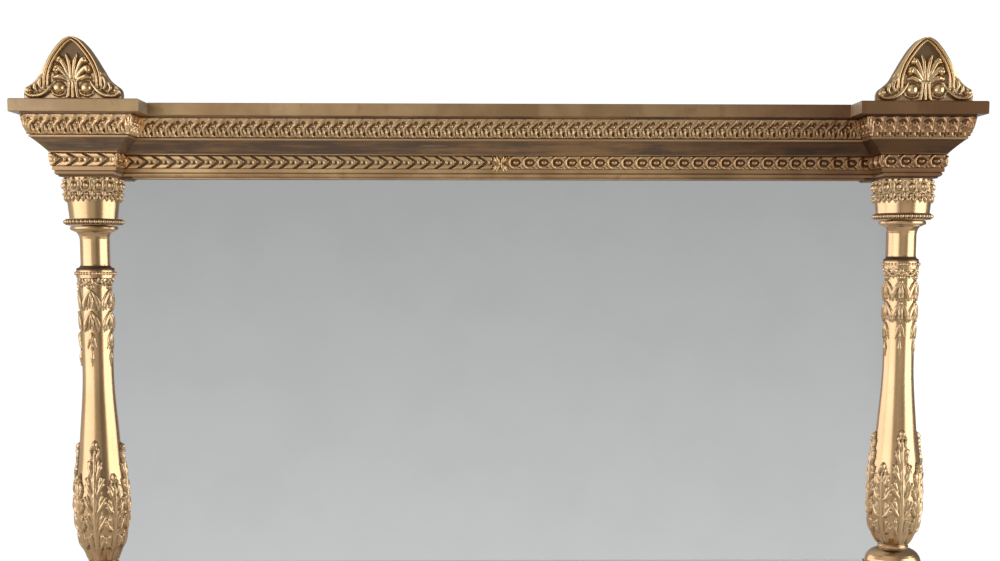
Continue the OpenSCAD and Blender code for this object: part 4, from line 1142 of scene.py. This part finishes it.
def capital_leaf_carving(x, t, half):
    """A bud over an egg in its cup, above a leaf with a cut lower edge."""
    a = abs(x)
    foot = 37.4 - 0.75 * abs(a - 4.9)
    middle = [(0, 4.2, 3.0, 5.6), (0, 13.4, 4.1, 7.4, 6.4), (0, 26.8, 3.1, 6.8)]
    sides = [
        ([(6.6, 5.5), (7.0, 13), (5.0, 20), (0, 22.6)], 1.2, [2.6, 3.6, 3.6, 3.2]),
        ([(half, 8), (half, 15)], [1.1, 1.6], [3.0, 4.4]), (half, 3.4, 2.0, 3.4),
        ([(1.4, 29.5), (4.2, 34), (5.0, 37.4)], [1.6, 2.9, 1.6], [3.6, 5.4, 3.8], 0.8),
        ([(half - 1.4, 22), (half - 2.4, 28), (half - 3.0, 34)], [1.6, 2.6, 1.4],
         [3.8, 5.4, 3.6], 0.7),
    ]
    pits = [(half, 20.2, 1.8, 5, 2.8), ([(4.9, 7), (5.1, 12), (4.2, 17)], 0.9, 3.2),
            ([(3.9, 25.6), (5.6, 30.6)], 1.0, 4.6), ([(half - 0.9, 33), (half, 38.4)], 1.3, 6)]
    height = highest(np.where(t < foot, 1.5, SUNK), marks(x, t, middle), marks(a, t, sides))
    height = height - highest(ball(x, t, 0, 35.4, 1.5, 4.5, 3.4), marks(a, t, pits))
    return np.maximum(height, np.where(t < foot + 1.4, 0.12, SUNK))


def make_capital_leaves(side):
    step = 360 / CAPITAL_LEAVES
    half = math.radians(step / 2) * DRUM_R
    s, t = grid(np.linspace(-half, half, 23), np.linspace(0, 39.5, 44))
    unit = hung("capital_leaf", lambda z: drum_radius(side, z), soffit, s, t,
                capital_leaf_carving(s, t, half))
    first = -(CAPITAL_SHOWN // 2) * step
    finish_piece("capital_leaves_" + side,
                 Shape().add(*ring_of(unit, side, CAPITAL_SHOWN, first, step)))


# ---------- acroteria ----------

ACRO_W = 151
ACRO_H = 95
ACRO_SHIFT = 1.8
ACRO_FACE = 6
ACRO_BACKING = 6
ACRO_OUTLINE = [[0, 1], [0.1, 1], [0.17, 0.962], [0.235, 0.855], [0.3, 0.76], [0.365, 0.7],
                [0.43, 0.655], [0.5, 0.602], [0.6, 0.528], [0.7, 0.448], [0.8, 0.362],
                [0.88, 0.275], [0.94, 0.195], [0.975, 0.12], [1, 0.012]]
ARCH_RIDGE = [[0, 46.5], [20, 44.6], [35.6, 43.6], [50, 39.4], [61, 34.2], [72, 27], [83, 18.4],
              [89.5, 11.6], [95, 2.6]]

# marks of the palmette, scrolls and leaf feet: centred ones, and ones that its two sides share
ACRO_MIDDLE = [([(0, 1), (0, 26)], 2.5, [6.6, 6.0]), ([(-6, 27), (0, 28.4), (6, 27)], 1.8, 6.8)]
ACRO_SIDE = [
    ([(8.6, 1), (6.6, 9), (5.0, 26)], 2.7, [6.4, 5.8]),
    ([(2.2, 30), (2.8, 44), (5.0, 58), (8.2, 67)], [2.0, 3.2, 3.8, 2.0], [4.8, 7.0, 8.0, 6.4], 0.9),
    ([(3.4, 30), (8.2, 43), (13.4, 54), (18.2, 60.5), (22.4, 57.0)], [1.8, 3.5, 4.6, 4.6, 2.8],
     [4.4, 7.0, 8.4, 8.8, 6.4], 1.1),
    (19.4, 57.6, 3.8, 9.4),
    ([(4.2, 28.5), (11.0, 37.5), (17.6, 44.6), (23.2, 47.4), (27.6, 43.0)],
     [1.8, 3.5, 4.8, 4.6, 2.9], [4.4, 7.0, 8.4, 8.8, 6.6], 1.1),
    (24.8, 43.4, 5.2, 9.8),
    ([(5, 27), (12, 31), (20, 34), (28, 32.5)], [1.6, 3.2, 3.8, 2.4], [4.0, 6.6, 7.6, 5.8], 1.0),
    (21.2, 16.8, 9.4, 9.4),
    ([(10.2, 14), (13.0, 7.4), (21.0, 4.8), (29.4, 7.4), (32.4, 13)], 1.5,
     [3.0, 4.6, 5.2, 4.8, 3.2]),
    ([(27.5, 27), (32.5, 19.5), (39.5, 11.6), (47.5, 6.4), (56, 4.4), (65, 4.6), (71.6, 9.2),
      (70.6, 15.6), (65.6, 17.6)], [1.6, 2.9, 3.5, 3.5, 3.2, 2.8, 2.6, 2.6, 2.0],
     [4.6, 6.8, 7.8, 8.0, 8.0, 7.8, 7.4, 7.0, 5.4], 1.0, 48),
    (66.6, 12.4, 4.3, 9.2),
    ([(43.5, 37), (49.0, 30), (51.0, 22), (47.5, 14)], [1.2, 3.0, 3.2, 1.3],
     [4.0, 6.2, 6.4, 4.4], 1.8),
    ([(51.5, 27.5), (57.0, 22), (58.6, 16), (55, 11)], [1.2, 2.7, 2.9, 1.2],
     [3.6, 5.8, 6.2, 4.2], 1.6),
    ([(45.5, 24), (45.0, 17), (42.5, 13)], [1.0, 2.0, 1.0], [3.0, 4.6, 3.4]),
]


def acroterion_carving(x, z):
    """Palmette over two balls in a sunk field, in a double arch, between leaf and scroll feet."""
    a = abs(x)
    ridge = curve(ARCH_RIDGE, z)
    slope = np.gradient(ridge, axis=0) / np.maximum(np.gradient(z, axis=0), 1e-6)
    inside = (ridge - a) / np.sqrt(1 + slope ** 2)
    hill = lambda d, centre, width: np.clip(1 - ((d - centre) / width) ** 2, 0, 1) ** 0.5
    leg = np.clip((z - 12) / 8, 0, 1)
    return highest(
        0.4 + 0 * x,
        np.where(inside < 0.5, 5.2 + 0.45 * inside, 0) * np.clip((z - 33) / 6, 0, 1),
        6.6 * hill(inside, 0.9, 3.0) * leg,
        7.4 * hill(inside, 6.6, 2.5) * leg,
        marks(x, z, ACRO_MIDDLE), marks(a, z, ACRO_SIDE))


def make_acroterion(side):
    low, high = corner("acroterion_" + side, 0), corner("acroterion_" + side, 1)
    tall = high[2] - low[2]
    back_y = high[1]
    face_y = back_y - ACRO_BACKING - ACRO_FACE
    f = 1 - (1 - np.linspace(0, 1, 84)) ** 1.1
    f, v = grid(f, np.linspace(-1, 1, 117))
    half = ACRO_W / 2 * curve(ACRO_OUTLINE, f)
    x = half * v
    height = acroterion_carving(x, ACRO_H * f)
    rim = (abs(v) == 1) | (f == 0) | (f == 1)
    height = np.where(rim, 0, height)
    shade_and_grime = hollowness(height, 9, 3.0, -0.45)
    # painted shade in the sunk field at the top of the arch, added to the soiling and painted shade
    # of the hollows
    arch_top_shade = np.clip((27 - abs(x) - 0.62 * abs(ACRO_H * f - 66)) / 6, 0, 1)
    shade_and_grime = np.maximum(shade_and_grime, arch_top_shade * (f > 0.62) * (height < 1.5))
    x0 = SIDES[side] * (axis_x + ACRO_SHIFT)
    front = np.stack([x0 + x, face_y - height, low[2] + tall * f], axis=-1)
    back = np.stack([x0 + x, back_y + 0 * x, low[2] + tall * f], axis=-1)
    made = slab(front[:, ::-1], back[:, ::-1], shade_and_grime[:, ::-1])
    finish_piece("acroterion_" + side, Shape().add(*made), finishes["crest_gilt"])


def carve_everything():
    make_bands()
    make_rosette()
    for side in SIDES:
        make_acroterion(side)
        make_capital_leaves(side)
        make_garland(side)
        make_acanthus(side)


carve_everything()


# ---------- camera, floor and light ----------

CAMERA_AT = Vector((-39.1, -2223.3, 716.6)) * MM
CAMERA_YAW = 0.01737
CAMERA_DIP = 0.0973
CAMERA_ROLL = 0.000904
FOCAL_PX = 1360.3
PICTURE_W = 1000
CENTRE_BELOW_PX = 109.24
SENSOR = 36


def make_camera():
    data = bpy.data.cameras.new("photo_camera")
    data.sensor_width = SENSOR
    data.lens = SENSOR * FOCAL_PX / PICTURE_W
    data.shift_y = CENTRE_BELOW_PX / PICTURE_W
    data.clip_start = 0.01
    ahead = Vector((math.sin(CAMERA_YAW) * math.cos(CAMERA_DIP),
                    math.cos(CAMERA_YAW) * math.cos(CAMERA_DIP), -math.sin(CAMERA_DIP)))
    level = Vector((math.cos(CAMERA_YAW), -math.sin(CAMERA_YAW), 0))
    up = level.cross(ahead)
    right = level * math.cos(CAMERA_ROLL) + up * math.sin(CAMERA_ROLL)
    up = up * math.cos(CAMERA_ROLL) - level * math.sin(CAMERA_ROLL)
    turn = Matrix((right, up, -ahead)).transposed()
    camera = linked("photo_camera", data)
    camera.matrix_world = Matrix.Translation(CAMERA_AT) @ turn.to_4x4()
    bpy.context.scene.camera = camera


def soft_light(name, at, aim, width, height, watts, colour):
    data = bpy.data.lights.new(name, "AREA")
    data.shape = "RECTANGLE"
    data.size, data.size_y = width, height
    data.energy = watts
    data.color = colour
    lamp = linked(name, data)
    at, aim = Vector(at), Vector(aim)
    turn = (aim - at).to_track_quat("-Z", "Y").to_matrix()
    lamp.matrix_world = Matrix.Translation(at) @ turn.to_4x4()
    lamp.visible_camera = False


# the floor under the mirror, in metres
FLOOR_HALF_DEEP = 0.75
FLOOR_LONGER = 1.9
FLOOR_FORWARD = -0.1
FLOOR_THICK = 0.02
FLOOR_STEPS = 9


def make_floor():
    half_x = FLOOR_HALF_DEEP * FLOOR_LONGER
    ends_y = FLOOR_FORWARD - FLOOR_HALF_DEEP, FLOOR_FORWARD + FLOOR_HALF_DEEP
    x, y = grid(np.linspace(-half_x, half_x, FLOOR_STEPS), np.linspace(*ends_y, FLOOR_STEPS))
    top, under = [np.stack([x, y, z + 0 * x], axis=-1) / MM for z in (0, -FLOOR_THICK)]
    mesh = Shape().add(*slab(top, under, 0 * x)).mesh("studio_floor")
    mesh.shade_flat()
    floor = linked("studio_floor", mesh)
    f = Finish("studio_floor", 0.0, 0.7)
    drift = f.noise(1.2, 2, 0.5)
    floor.data.materials.append(f.surface({
        "Base Color": f.mix(drift, (0.72, 0.71, 0.70), (0.76, 0.75, 0.74)),
        "Roughness": 0.66 + drift * 0.08,
    }))


# grey levels of the room in the glass, by height, and by side below and above the picture's level
ROOM_LEVELS = [(0.0, 0.30), (0.39, 0.62), (0.53, 0.42), (0.65, 0.34), (1.0, 0.50)]
ROOM_SIDES = [(0.0, 1.15), (0.13, 0.95), (0.30, 0.50), (0.36, 1.0), (0.64, 1.0), (0.70, 0.42),
              (1.0, 0.36)]
ROOM_HIGH_SIDES = [(0.0, 1.3), (0.36, 1.5), (0.50, 1.0), (0.62, 0.45), (1.0, 0.40)]
HIGH_FROM, HIGH_FULL = 0.065, 0.14
WHITE_STRENGTH = 1.05


def make_surroundings():
    """White behind the mirror as seen by the camera; a plain grey room to everything else."""
    world = bpy.data.worlds.new("studio")
    f = Shading(world, "Generated")
    across, up = f.part(0), f.part(2)
    level = f.ramp(up * 0.5 + 0.5, ROOM_LEVELS)
    low_side = f.ramp(across * 0.5 + 0.5, ROOM_SIDES)
    high_side = f.ramp(across * 0.5 + 0.5, ROOM_HIGH_SIDES)
    high = f.rise(up, HIGH_FROM, HIGH_FULL)
    grey = level * (low_side + (high_side - low_side) * high)
    room = f.value("ShaderNodeBackground", {}, {0: grey})
    white = f.value("ShaderNodeBackground", {}, {0: (1, 1, 1, 1), 1: WHITE_STRENGTH})
    camera = f.value("ShaderNodeLightPath", {}, {}, "Is Camera Ray")
    choose = f.value("ShaderNodeMixShader", {}, {0: camera, 1: room, 2: white})
    f.node("ShaderNodeOutputWorld", {}, {0: choose})
    bpy.context.scene.world = world


COLUMN_PIECES = ("capital_", "capital_leaves_", "column_", "garland_", "acanthus_")


def keep_columns_out_of_glass():
    """The photograph shows an empty room in the glass, right up to the columns."""
    for thing in bpy.data.objects:
        if thing.name.removeprefix("carved_").startswith(COLUMN_PIECES):
            thing.visible_glossy = False


def make_studio():
    view = bpy.context.scene.view_settings
    view.view_transform = "Standard"
    view.look = "None"
    view.exposure = 0
    view.gamma = 1
    make_camera()
    make_floor()
    make_surroundings()
    keep_columns_out_of_glass()
    soft_light("left_window", (-2.21, -1.28, 1.0), (-0.01, 0.17, 0.75), 3.0, 1.9, 32,
               (0.84, 0.86, 1.0))
    soft_light("right_window", (2.3, -0.76, 0.9), (-0.1, 0.24, 0.65), 2.0, 1.9, 35,
               (0.87, 0.91, 1.0))


make_studio()
